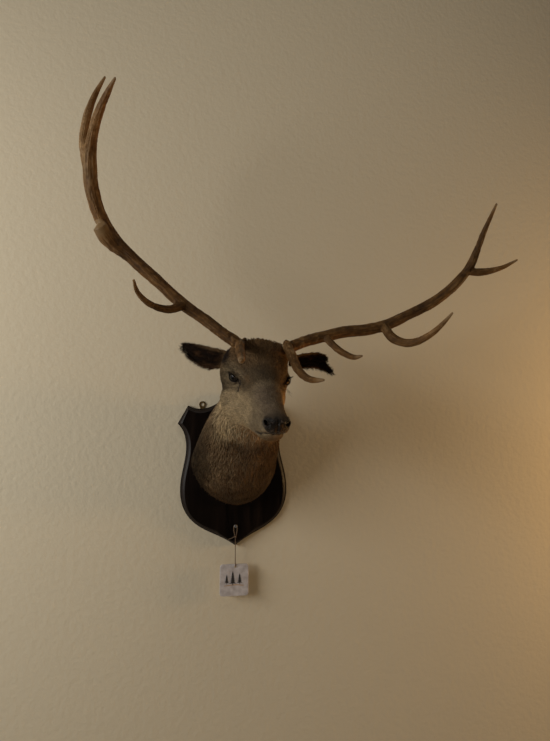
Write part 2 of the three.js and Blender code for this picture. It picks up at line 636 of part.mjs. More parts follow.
function buildTag() {
  const front = -BOARD.thickness;
  const length = TAG.shankDepth + TAG.stand;
  const shank = new THREE.CylinderGeometry(TAG.shank, TAG.shank, length, FACETS.nail);
  shank.translate(TAG.nailX, front + TAG.shankDepth - length / 2, TAG.nailZ);
  const head = new THREE.SphereGeometry(1, ...FACETS.nailHead);
  head.scale(TAG.headRadius, TAG.headThick, TAG.headRadius);
  head.translate(TAG.nailX, front - TAG.stand, TAG.nailZ);
  addPiece('tag_nail', toGeometry(toSolid(shank).add(toSolid(head))), 'steel');

  addPiece('tag_loop', tube(LOOP_ROUTE, TAG.twine, FACETS.loop), 'twine');
  const knot = new THREE.SphereGeometry(1, ...FACETS.knot);
  knot.scale(...TAG.knotRadii);
  knot.translate(TAG.nailX, TAG.knotY, TAG.knotZ);
  addPiece('tag_knot', knot, 'twine');
  const plate = tagPlate().translate(TAG.plateX, TAG.plateY, TAG.plateTop - TAG.height / 2);
  addPiece('tag_plate', plate, 'plate');
  addPiece('tag_drop', tube(DROP_ROUTE, TAG.twine, FACETS.drop), 'twine');
}

buildBoard();
buildFlesh();
const fleshGrown = fleshSolid(GAP);
for (const [side, ear] of Object.entries(EARS)) {
  const solid = toSolid(earGeometry(ear)).subtract(fleshGrown);
  addPiece(`ear_${side}`, toGeometry(mainBody(solid)), 'coat');
}
for (const [side, antler] of Object.entries(ANTLERS)) buildAntler(side, antler, fleshGrown);
buildTag();

export default group;
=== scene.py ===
import math

import bmesh
import bpy
import numpy as np
from mathutils import Matrix, Vector
from mathutils.bvhtree import BVHTree


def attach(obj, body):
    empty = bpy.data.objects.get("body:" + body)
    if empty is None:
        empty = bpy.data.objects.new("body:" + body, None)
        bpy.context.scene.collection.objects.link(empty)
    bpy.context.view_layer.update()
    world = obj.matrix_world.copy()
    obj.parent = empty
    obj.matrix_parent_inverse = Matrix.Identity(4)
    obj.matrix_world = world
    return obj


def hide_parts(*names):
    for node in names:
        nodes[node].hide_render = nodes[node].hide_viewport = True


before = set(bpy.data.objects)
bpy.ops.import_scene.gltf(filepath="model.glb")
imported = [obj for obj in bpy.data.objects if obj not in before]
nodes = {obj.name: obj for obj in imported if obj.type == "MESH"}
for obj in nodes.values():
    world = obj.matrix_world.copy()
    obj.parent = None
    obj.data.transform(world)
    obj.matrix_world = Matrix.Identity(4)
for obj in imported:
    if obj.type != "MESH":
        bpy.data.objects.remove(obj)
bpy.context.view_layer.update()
scene = bpy.context.scene

# Tables and arrays of points are in millimetres, in the row's frame. Meshes are in metres.
MM = 0.001

# The place between the eyes, and the head's turn there.
HEAD_AT = np.array([23.0, -386.0, 273.0])
HEAD_TURN = np.array(
    Matrix.Rotation(math.radians(1.75), 3, "Z")
    @ Matrix.Rotation(math.radians(31), 3, "X")
    @ Matrix.Rotation(math.radians(2.25), 3, "Y")
)


# ---------------------------------------------------------------- small helpers
def in_head(points):
    """Points of the row frame in the head's own frame: from between the eyes, -y to the nose."""
    return (points - HEAD_AT) @ HEAD_TURN


def from_head(points):
    return np.asarray(points, float) @ HEAD_TURN.T + HEAD_AT


def turned(directions):
    """Directions of the head's own frame in the row frame."""
    return np.asarray(directions, float) @ HEAD_TURN.T


def on_side(values, side):
    """Values of the left side of the head, mirrored where side is -1."""
    return np.array(values) * (side, 1, 1)


def unit(v):
    return v / np.maximum(np.linalg.norm(v, axis=-1, keepdims=True), 1e-9)


def ramp(x, low, high):
    """0 below low, 1 above high and smooth between. low may be the larger one."""
    t = np.clip((x - low) / (high - low), 0, 1)
    return t * t * (3 - 2 * t)


def hump(x, middle=0.0, width=1.0):
    """1 at the middle, falling to 0 on both sides."""
    return np.exp(-(((x - middle) / width) ** 2))


def noise(points, seed=0):
    """Smooth noise from -1 to 1, with features about one unit across."""
    cell = np.floor(points).astype(np.int64)
    f = points - cell
    f = f * f * (3 - 2 * f)
    total = np.zeros(len(points))
    for corner in np.ndindex(2, 2, 2):
        at = cell + corner
        h = at[:, 0] * 73856093 ^ at[:, 1] * 19349663 ^ at[:, 2] * 83492791 ^ (seed * 7919 + 13)
        h = (h ^ (h >> 13)) * 1274126177 & 0xFFFFFFFF
        h = (h ^ (h >> 15)) * 668265263 & 0xFFFFFFFF
        value = ((h >> 8) & 0xFFFF) / 32767.5 - 1
        weight = np.ones(len(points))
        for k in range(3):
            weight = weight * (f[:, k] if corner[k] else 1 - f[:, k])
        total += value * weight
    return total


def layered(points, seed=0, octaves=3):
    """Layers of noise, each twice as fine and half as strong as the one before."""
    return sum(
        noise(points * 2**k, seed + 31 * k) * 0.5**k for k in range(octaves)
    ) / (2 - 0.5 ** (octaves - 1))


def new_mesh(name, points, *groups):
    """A mesh from points in mm and arrays of faces, each array with one number of corners."""
    groups = [np.asarray(g, np.int32) for g in groups if len(g)]
    mesh = bpy.data.meshes.new(name)
    mesh.vertices.add(len(points))
    mesh.vertices.foreach_set("co", (np.asarray(points, float) * MM).ravel())
    corners = np.concatenate([g.ravel() for g in groups])
    sizes = np.concatenate([np.full(len(g), g.shape[1]) for g in groups])
    mesh.loops.add(len(corners))
    mesh.loops.foreach_set("vertex_index", corners)
    mesh.polygons.add(len(sizes))
    mesh.polygons.foreach_set("loop_start", np.concatenate([[0], np.cumsum(sizes)[:-1]]))
    mesh.polygons.foreach_set("use_smooth", np.ones(len(sizes), bool))
    mesh.update(calc_edges=True)
    mesh.validate()
    return mesh


def mesh_from(work, name):
    """Ends the work on a bmesh and gives it as a mesh."""
    mesh = bpy.data.meshes.new(name)
    work.to_mesh(mesh)
    work.free()
    return mesh


def add_part(work, points, *groups):
    """Adds points in mm and their faces to a bmesh."""
    part = new_mesh("part", points, *groups)
    work.from_mesh(part)
    bpy.data.meshes.remove(part)


def cut_large(work):
    """Cuts the faces of a bmesh that have more than four corners into triangles."""
    work.normal_update()
    bmesh.ops.triangulate(work, faces=[f for f in work.faces if len(f.verts) > 4])


def smooth_edges(work, flat):
    """Shades smooth all faces but those that face front or back, with a normal past flat."""
    for face in work.faces:
        face.smooth = abs(face.normal.y) < flat


def ring_faces(rings, around):
    """The faces between closed rings of points, ring by ring."""
    i, k = np.meshgrid(np.arange(rings - 1), np.arange(around), indexing="ij")
    m = (k + 1) % around
    quads = [i * around + k, i * around + m, (i + 1) * around + m, (i + 1) * around + k]
    return np.stack(quads, axis=-1).reshape(-1, 4)


def circle(steps):
    """Angles once round, without the last."""
    return np.linspace(0, 2 * np.pi, steps, endpoint=False)


def coords(mesh):
    out = np.empty(len(mesh.vertices) * 3)
    mesh.vertices.foreach_get("co", out)
    return out.reshape(-1, 3) / MM


def normals(mesh):
    out = np.empty(len(mesh.vertices) * 3)
    mesh.vertex_normals.foreach_get("vector", out)
    return out.reshape(-1, 3)


def set_coords(mesh, points):
    mesh.vertices.foreach_set("co", (points * MM).ravel())
    mesh.update()


def set_colour(mesh, name, rgb):
    layer = mesh.color_attributes.new(name, "FLOAT_COLOR", "POINT")
    rgba = np.concatenate([rgb, np.ones((len(rgb), 1))], axis=1)
    layer.data.foreach_set("color", rgba.astype(np.float32).ravel())


def set_value(mesh, name, values):
    layer = mesh.attributes.new(name, "FLOAT", "POINT")
    layer.data.foreach_set("value", np.asarray(values, np.float32))


def edges_of(mesh):
    out = np.empty(len(mesh.edges) * 2, np.int32)
    mesh.edges.foreach_get("vertices", out)
    return out.reshape(-1, 2)


def smoothed(values, edges, rounds, share=0.5, back=0.0):
    """Values at vertices, moved toward their neighbours' mean. share may differ by vertex."""
    a, b = edges.T
    count = np.bincount(edges.ravel(), minlength=len(values)).clip(1)[:, None]
    flat = values.ndim == 1
    values = values[:, None] if flat else values.copy()
    share = np.broadcast_to(np.asarray(share, float), (len(values),))[:, None]
    for i in range(rounds):
        mean = np.empty_like(values)
        for k in range(values.shape[1]):
            column = values[:, k]
            mean[:, k] = np.bincount(a, column[b], len(column)) + np.bincount(
                b, column[a], len(column)
            )
        step = mean / count - values
        values = values + step * (share if i % 2 == 0 or not back else -back * share)
    return values[:, 0] if flat else values


def add_piece(name, mesh, material, slot, replaced=()):
    piece = bpy.data.objects.new(name, mesh)
    scene.collection.objects.link(piece)
    if material is not None:
        mesh.materials.append(material)
    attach(piece, "root")
    if replaced:
        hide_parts(*replaced)
    return piece


# ---------------------------------------------------------------- camera
# In metres and degrees.
CAMERA = {"at": (-0.20867, -1.87, 0.116), "up": 6.8, "turn": -10.35, "lens": 27.30}


def make_camera():
    camera = bpy.data.objects.new("camera", bpy.data.cameras.new("camera"))
    scene.collection.objects.link(camera)
    camera.data.lens = CAMERA["lens"]
    camera.location = CAMERA["at"]
    camera.rotation_euler = (math.radians(90 + CAMERA["up"]), 0, math.radians(CAMERA["turn"]))
    scene.camera = camera


make_camera()

# ---------------------------------------------------------------- cords
# The twine's thickness, and the routes of its two stretches, as the solids have them.
TWINE = 2.6
LOOP_ROUTE = [
    (-2.9, -26.9, -196.1), (-5.4, -26.9, -186), (-6.3, -26.9, -176), (-6.3, -26.9, -168.1),
    (-4.75, -26.9, -164.35), (-1, -26.9, -162.8), (2.75, -26.9, -164.35), (4.3, -26.9, -168.1),
    (4.3, -26.9, -176), (3.4, -26.9, -186), (0.9, -26.9, -196.1),
]
DROP_ROUTE = [
    (-1, -27, -203.8), (-1.1, -27.4, -212), (-1.3, -28.4, -224), (-1.5, -30, -238),
    (-1.6, -31.7, -252), (-1.7, -33.3, -264), (-1.7, -34.6, -275), (-1.5, -35, -282),
    (-1.2, -35, -287.5), (-1, -34.6, -290.4), (-1, -33.6, -292.6),
]


def curve_points(rows, per_part=8):
    """A centripetal Catmull-Rom curve through rows, as the solids have, and each point's row."""
    rows = np.asarray(rows, float)
    first, last = 2 * rows[0] - rows[1], 2 * rows[-1] - rows[-2]
    padded = np.vstack([first, rows, last])
    out, shares = [], []
    for i in range(len(rows) - 1):
        p0, p1, p2, p3 = padded[i : i + 4]
        steps = ((p0, p1), (p1, p2), (p2, p3))
        d0, d1, d2 = (max(np.linalg.norm(b - a) ** 0.5, 1e-6) for a, b in steps)
        m1 = ((p1 - p0) / d0 - (p2 - p0) / (d0 + d1) + (p2 - p1) / d1) * d1
        m2 = ((p2 - p1) / d1 - (p3 - p1) / (d1 + d2) + (p3 - p2) / d2) * d1
        ends = per_part + (i == len(rows) - 2)
        for t in np.arange(ends) / per_part:
            squared = (3 * (p2 - p1) - 2 * m1 - m2) * t**2
            out.append(p1 + m1 * t + squared + (2 * (p1 - p2) + m1 + m2) * t**3)
            shares.append(i + t)
    return np.array(out), np.array(shares)


def twine_curve(name, route):
    points, _ = curve_points(route, 4)
    curve = bpy.data.curves.new(name, "CURVE")
    curve.dimensions = "3D"
    # The size of a curve in a scene counts its points' radii, so they hold the thickness.
    curve.bevel_depth = 1
    curve.bevel_resolution = 3
    curve.use_fill_caps = True
    spline = curve.splines.new("POLY")
    spline.points.add(len(points) - 1)
    for point, at in zip(spline.points, points):
        point.co = (*(at * MM), 1)
        point.radius = TWINE / 2 * MM
    cord = bpy.data.objects.new(name, curve)
    scene.collection.objects.link(cord)
    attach(cord, "root")
    length = float(np.linalg.norm(np.diff(points, axis=0), axis=1).sum() * MM)
    return cord, length


loop, loop_length = twine_curve("tag_twine_loop", LOOP_ROUTE)
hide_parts("tag_loop")
drop, drop_length = twine_curve("tag_twine_drop", DROP_ROUTE)
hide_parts("tag_drop")

# ---------------------------------------------------------------- skin
FLESH = ["neck", "head_skull", "head_muzzle", "head_nose_pad", "head_lower_jaw"]
VOXEL = 3.2
OVERLAP = 0.5
# How far the dome under the lids stands off the eyeball.
DOME = 1.8
# How many rounds of smoothing each flesh node gets.
SMOOTHING = [60, 60, 40, 20, 40]
EYE = {
    "at": (64.5, 5.0, 0.0),
    "radius": 19.5,
    "axis": (0.804, -0.593, 0.05),
    "front": (-0.504, -0.723, -0.20),
}
# How far the lids open from the eye's axis, in degrees.
OPENING = {"front": 60.0, "back": 52.0, "upper": 24.0, "lower": 29.0}
# How round the opening is, along it and across.
ALMOND = (1.7, 1.5)
# The skin's way off the eyeball: at the rim, the rise behind it, and how fast that comes.
LID = {"gap": 1.5, "rise": 5, "fade": 0.5}
# The upper lid's fold and the crease over it: ring, width and height.
FOLD = [(1.35, 0.3, 2.2), (2.3, 0.35, -1.6)]
NOSTRIL = {"at": (26.0, -251.0, 2.5), "radii": (6.8, 14.0, 5.0), "turn": 28, "bow": 0.03}

# Forms of the head, mirrored to both sides where x is not 0: middle, radii, height, and the
# height on the left where it differs.
FORMS = [
    [(50, 8, 31), (18, 26, 11), 4.5],  # brow ridge over the eye
    [(71, -4, -26), (12, 22, 8), 2.5],  # under the lower lid
    [(47, -40, 12), (14, 28, 15), -4.0],  # hollow before the eye
    [(58, -66, -36), (14, 48, 9), 2.5],  # facial crest
    [(38, -135, 2), (14, 56, 15), -3.5],  # side of the nose
    [(19, -120, 41), (8, 84, 8), 2.0],  # edge of the nasal bone
    [(68, 38, -16), (14, 38, 9), 3.5],  # cheek arch
    [(60, 42, 36), (16, 20, 13), -4.5, 0.0],  # temple, hollow on the right only
    [(66, 20, 40), (22, 34, 20), 0.5, 5.0],  # side of the brow
    [(76, 52, 44), (20, 26, 18), 0.5, 7.0],  # before the ear
    [(54, 8, -80), (24, 46, 30), 3.5],  # jaw muscle
    [(50, -62, -76), (18, 20, 22), -4.0],  # hollow before it
    [(33, -214, -24), (12, 28, 9), 2.5],  # upper lip
    [(29, -244, 6), (9, 13, 11), 3.0],  # wing of the nostril
    [(0, -232, -54), (26, 22, 12), -3.0],  # under the lower lip
    [(0, -40, 62), (15, 50, 12), -2.0],  # dip of the forehead
    [(0, -258, -4), (2.6, 12, 26), -2.4],  # groove down the nose
]
# Sunk lines: path, radius, depth, darkness, and how far across x counts in the distance.
FURROWS = [
    # The dark corner behind the eye, the slit before it and the tear pit below that.
    [[(79, 3, 5), (83, 7, 4.3), (86, 13.8, 3.3), (89.1, 19.8, 1.8)], 3.0, 1.5, 0.98, 0.4],
    [[(66, -20, 1), (60.2, -29.5, 3.3), (57.3, -34, -3)], 2.6, 1.2, 0.85, 0.4],
    [[(58, -32, 2), (57.8, -33, -3), (60.6, -31, -16), (65, -36, -29)], 6.8, 4.0, 0.98, 0.4],
    # The mouth.
    [
        [(0, -249, -30), (10, -245, -27.5), (17.6, -242, -26.3), (22.7, -225, -35.5),
         (26, -210.6, -47), (30, -194, -53.8), (34.9, -175, -59.6)],
        3.2, 4.5, 0.95, 0.7,
    ],
]
# Places where the skin gets smaller faces, in this order, with how far round them.
NOSE_SPOTS = [(0, -245, 0), (18, -245, -5), (-18, -245, -5)]
LIP_SPOTS = [(s * x, y, z) for s in (-1, 1) for x, y, z in ((36, -215, -33), (40, -190, -36))]
EYE_SPOTS = [(68, -2, 0), (-68, -2, 0)]
PIT_SPOTS = [(s * x, -43, z) for s in (-1, 1) for x, z in ((61, -4), (63, -22))]
REFINED = [
    (NOSE_SPOTS, 36), (NOSE_SPOTS + LIP_SPOTS, 24),
    (EYE_SPOTS, 38), (PIT_SPOTS, 20), (EYE_SPOTS, 27),
]


def joined_flesh():
    """The flesh nodes in one mesh, each swollen a little so that they run into each other."""
    joined = bmesh.new()
    for name in FLESH:
        part = bmesh.new()
        part.from_mesh(nodes[name].data)
        bmesh.ops.remove_doubles(part, verts=part.verts, dist=1e-6)
        part.normal_update()
        for vert in part.verts:
            vert.co += vert.normal * OVERLAP * MM
        mesh = mesh_from(part, name)
        joined.from_mesh(mesh)
        bpy.data.meshes.remove(mesh)
    for side in (-1, 1):
        # A dome over each eyeball fills the socket, for the lids.
        place = Matrix.Translation(from_head(on_side(EYE["at"], side)) * MM)
        radius = (EYE["radius"] + DOME) * MM
        bmesh.ops.create_uvsphere(joined, u_segments=32, v_segments=20, radius=radius, matrix=place)
    return mesh_from(joined, "joined")


def remeshed(mesh, voxel):
    """A mesh of even faces on the outside of the one given, which is removed."""
    carrier = bpy.data.objects.new("carrier", mesh)
    scene.collection.objects.link(carrier)
    modifier = carrier.modifiers.new("remesh", "REMESH")
    modifier.mode = "VOXEL"
    modifier.voxel_size = voxel * MM
    graph = bpy.context.evaluated_depsgraph_get()
    out = bpy.data.meshes.new_from_object(carrier.evaluated_get(graph))
    bpy.data.objects.remove(carrier)
    bpy.data.meshes.remove(mesh)
    return out


def zones_of(points):
    """For each point the share, 0 or 1, of each flesh node that lies nearest."""
    trees = []
    for name in FLESH:
        mesh = nodes[name].data
        faces = [face.vertices for face in mesh.polygons]
        trees.append(BVHTree.FromPolygons([v.co for v in mesh.vertices], faces))
    far = np.array([[tree.find_nearest(Vector(p * MM))[3] for tree in trees] for p in points])
    return (far == far.min(axis=1, keepdims=True)).astype(float)


def refine(mesh, near, radius):
    """Cuts the faces near any of some points of the head's frame into smaller ones."""
    work = bmesh.new()
    work.from_mesh(mesh)
    at = in_head(np.array([v.co for v in work.verts]) / MM)
    close = np.zeros(len(at), bool)
    for point in near:
        close |= np.linalg.norm(at - point, axis=1) < radius
    for vert, flag in zip(work.verts, close):
        vert.select = bool(flag)
    cut = [e for e in work.edges if e.verts[0].select and e.verts[1].select]
    bmesh.ops.subdivide_edges(work, edges=cut, cuts=1, use_grid_fill=True)
    work.to_mesh(mesh)
    work.free()


def path_near(points, path):
    """The distance from each point to a path of straight lengths, and the share along it."""
    path = np.asarray(path, float)
    best = np.full(len(points), 1e9)
    share = np.zeros(len(points))
    for i in range(len(path) - 1):
        line = path[i + 1] - path[i]
        t = np.clip((points - path[i]) @ line / (line @ line), 0, 1)
        far = np.linalg.norm(points - path[i] - t[:, None] * line, axis=1)
        share = np.where(far < best, (i + t) / (len(path) - 1), share)
        best = np.minimum(best, far)
    return best, share


def sculpt(points, outward):
    """Raises the head's forms and sinks its furrows, along the surface's outward directions."""
    local = in_head(points)
    lift = np.zeros(len(points))
    for side in (-1, 1):
        mirrored = local * (side, 1, 1)
        for at, radii, height, *left in FORMS:
            if at[0] or side == 1:
                far = np.linalg.norm((mirrored - at) / radii, axis=1)
                lift += (left[0] if left and side > 0 else height) * hump(far)
        for path, radius, depth, _, flat in FURROWS:
            far, share = path_near(mirrored * (flat, 1, 1), np.array(path) * (flat, 1, 1))
            ends = ramp(share, 1.0, 0.8) * (ramp(share, 0.0, 0.15) if path[0][0] else 1)
            lift -= depth * hump(far, 0, radius) * ends
    return points + outward * lift[:, None]


def eye_axes(side):
    """The eye's middle, and the directions out of it, to the nose and up, in the head's frame."""
    out = unit(on_side(EYE["axis"], side))
    front = on_side(EYE["front"], side)
    front = unit(front - out * (front @ out))
    up = np.cross(front, out) * (1 if np.cross(front, out)[2] > 0 else -1)
    return on_side(EYE["at"], side), out, front, up


def opening_at(away, out, front, up):
    """How far points are from the eye's opening, an almond: 1 on its rim, less inside it."""
    along = np.degrees(np.arctan2(away @ front, away @ out))
    rise = np.degrees(np.arctan2(away @ up, away @ out))
    long = np.where(along > 0, OPENING["front"], OPENING["back"])
    tall = np.where(rise > 0, OPENING["upper"], OPENING["lower"])
    return np.abs(along / long) ** ALMOND[0] + np.abs(rise / tall) ** ALMOND[1]


def set_lids(points):
    """Wraps the skin round the eyeballs and opens it between the lids."""
    local = in_head(points)
    for side in (-1, 1):
        middle, out, front, up = eye_axes(side)
        away = local - middle
        far = np.linalg.norm(away, axis=1)
        aside = np.degrees(np.arccos(np.clip(away @ out / far, -1, 1)))
        near = (aside < 89) & (far < 45)
        ring = np.where(near, opening_at(away, out, front, up), 99)
        behind = np.exp(-np.maximum(ring - 1, 0) * LID["fade"])
        hug = EYE["radius"] + LID["gap"] + LID["rise"] * (1 - behind)
        over = ramp(away @ up / far, -0.1, 0.35)
        hug += over * sum(height * hump(ring, at, width) for at, width, height in FOLD)
        want = np.where(ring < 1, EYE["radius"] - 4, np.minimum(hug, far + 1))
        weight = ramp(ring, 4.5, 1.6) * ramp(aside, 88, 72) * ramp(far, 40, 30)
        goal = want * weight + far * (1 - weight)
        local = np.where(near[:, None], middle + unit(away) * goal[:, None], local)
    return from_head(local)


def set_nostrils(points):
    """Sinks the nostrils and raises a rim round them."""
    local = in_head(points)
    wide, deep, tall = NOSTRIL["radii"]
    for side in (-1, 1):
        turn = math.radians(NOSTRIL["turn"]) * side
        q = local - on_side(NOSTRIL["at"], side)
        across = q[:, 0] * math.cos(turn) + q[:, 2] * math.sin(turn)
        rise = -q[:, 0] * math.sin(turn) + q[:, 2] * math.cos(turn)
        rise = rise - NOSTRIL["bow"] * across**2
        far = np.hypot(across / wide, rise / tall)
        local[:, 1] += ramp(far, 1.15, 0.55) * (q[:, 1] < 22) * deep
        local[:, 1] -= 1.2 * (hump(far, 1.35, 0.3) * (q[:, 1] < 14))
    return from_head(local)


def cast_skin():
    """The bare skin of head and neck in one mesh."""
    mesh = remeshed(joined_flesh(), VOXEL)
    zones = zones_of(coords(mesh))
    points = smoothed(coords(mesh), edges_of(mesh), 60, 0.5 * ramp(zones @ SMOOTHING, 0, 60))
    set_coords(mesh, points)
    for near, radius in REFINED:
        refine(mesh, near, radius)
    points = sculpt(coords(mesh), normals(mesh))
    set_coords(mesh, points)
    edges = edges_of(mesh)
    calm = 1 - ramp(in_head(points)[:, 1], -205, -236)
    points = smoothed(points, edges, 6, 0.5 * calm)
    set_coords(mesh, points)
    points = points - normals(mesh) * coat_depth(points)[:, None]
    points = set_nostrils(set_lids(points))
    # A ring round each eye is smoothed, where the lids' shape runs into the head's.
    local = in_head(points)
    round_eye = np.minimum(*[np.linalg.norm(local - eye_axes(s)[0], axis=1) for s in (-1, 1)])
    calm = ramp(round_eye, 26, 32) * ramp(round_eye, 62, 48) * (1 - lined(local))
    set_coords(mesh, smoothed(points, edges, 30, 0.5 * calm))
    return mesh


def on_neck(points):
    """The share of neck at a point, from the cut behind the head's jaw."""
    behind = points[:, 1] + 0.06 * (points[:, 2] - 270)
    return ramp(behind, -322, -280)


def coat_depth(points):
    """How far the skin lies under the tips of the coat, in mm."""
    local = in_head(points)
    x, y, z = local.T
    face = 0.3 + 1.2 * ramp(y, -236, -215) + 1.2 * ramp(y, -60, 20)
    crown = 5.5 * ramp(y, 20, 60) * ramp(z, 40, 66)
    jaw = 1.5 * ramp(z, -50, -90) * ramp(y, -150, -60)
    neck = on_neck(points)
    low = ramp(points[:, 2], 180, -20)
    return (face + crown + jaw) * (1 - neck) + (8 + 3.5 * low) * neck


# ---------------------------------------------------------------- markings
# Colours are linear red, green, blue.
FUR = {
    "neck": (0.112, 0.074, 0.040),
    "neck_dark": (0.060, 0.034, 0.016),
    "neck_pale": (0.200, 0.140, 0.080),
    "brow": (0.080, 0.055, 0.030),
    "forehead": (0.124, 0.075, 0.035),
    "crown": (0.125, 0.070, 0.030),
    "nasal": (0.140, 0.102, 0.066),
    "muzzle": (0.160, 0.120, 0.073),
    "cheek": (0.320, 0.240, 0.138),
    "chin": (0.140, 0.098, 0.052),
    "rufous": (0.180, 0.076, 0.022),
    "dark": (0.008, 0.004, 0.002),
    "ear": (0.008, 0.004, 0.002),
    "ear_brown": (0.080, 0.036, 0.014),
    "nose": (0.010, 0.007, 0.005),
    # Pale grey for the specks on the nose pad, a painted glint of its wet bumps.
    "nose_glint": (0.120, 0.090, 0.075),
}
# Where the cheek's cream ends on the side of the face: y from the nose back, and z.
CREAM = [(-185, 6), (-160, 3), (-113, 0), (-66, -8), (-14, -30), (23, -56), (60, -75)]
# Soft spots of another colour: its name, share, middle and radii.
SPOTS = [
    ("forehead", 0.8, (48, -62, 22), (12, 22, 10)),
    ("forehead", 0.8, (56, -10, 43), (18, 22, 12)),
    ("cheek", 0.35, (66, 8, 32), (16, 26, 7)),
    ("cheek", 0.32, (84, 10, -8), (18, 28, 20)),
]
# Black hair round each ear's root and the painted shade beside it: middle and radii.
EAR_ROOT_AND_SHADE = [(90, 68, 35), (26, 44, 25)]
# Where the colour is lighter or darker, the first a painted shade under the brow tine: how much
# darker, middle and radii.
SHADES = [
    # painted shade under the brow tine
    (0.38, (52, 6, 46), (18, 36, 20)),
    (0.28, (90, 40, -50), (18, 45, 60)),
    (-0.4, (0, -8, 62), (26, 40, 25)),
]
# The neck darkens from this far to its sides, over this width.
FLANK = (84, 42)
# Paler hair over the eye and below its lower lid: paths, with x at 0.4 of its size, and radii.
PALE = [
    [[(36.4, 28.8, 8), (34, 16.7, 13.3), (31.4, 7.6, 16.4)], 3.6, 0.35],
    [[(28.9, 1, 23), (24.6, -20.7, 22.2), (22.3, -41.9, 18)], 3.6, 0.30],
    [[(31, 6.7, -28.5), (28.2, -7.8, -21.6), (25.6, -28, -11)], 3.6, 0.50],
]


def mixed(base, name, share):
    """Colours turned toward one of the fur's, by a share for each point."""
    return base + (np.array(FUR[name]) - base) * np.clip(share, 0, 1)[:, None]


def spot(local, at, radii):
    """1 at a middle of the head's frame, falling to 0 around it, on both sides."""
    out = np.zeros(len(local))
    for side in (-1, 1) if at[0] else (1,):
        near = np.sum(((local - on_side(at, side)) / radii) ** 2, axis=1)
        out = np.maximum(out, np.exp(-near))
    return out


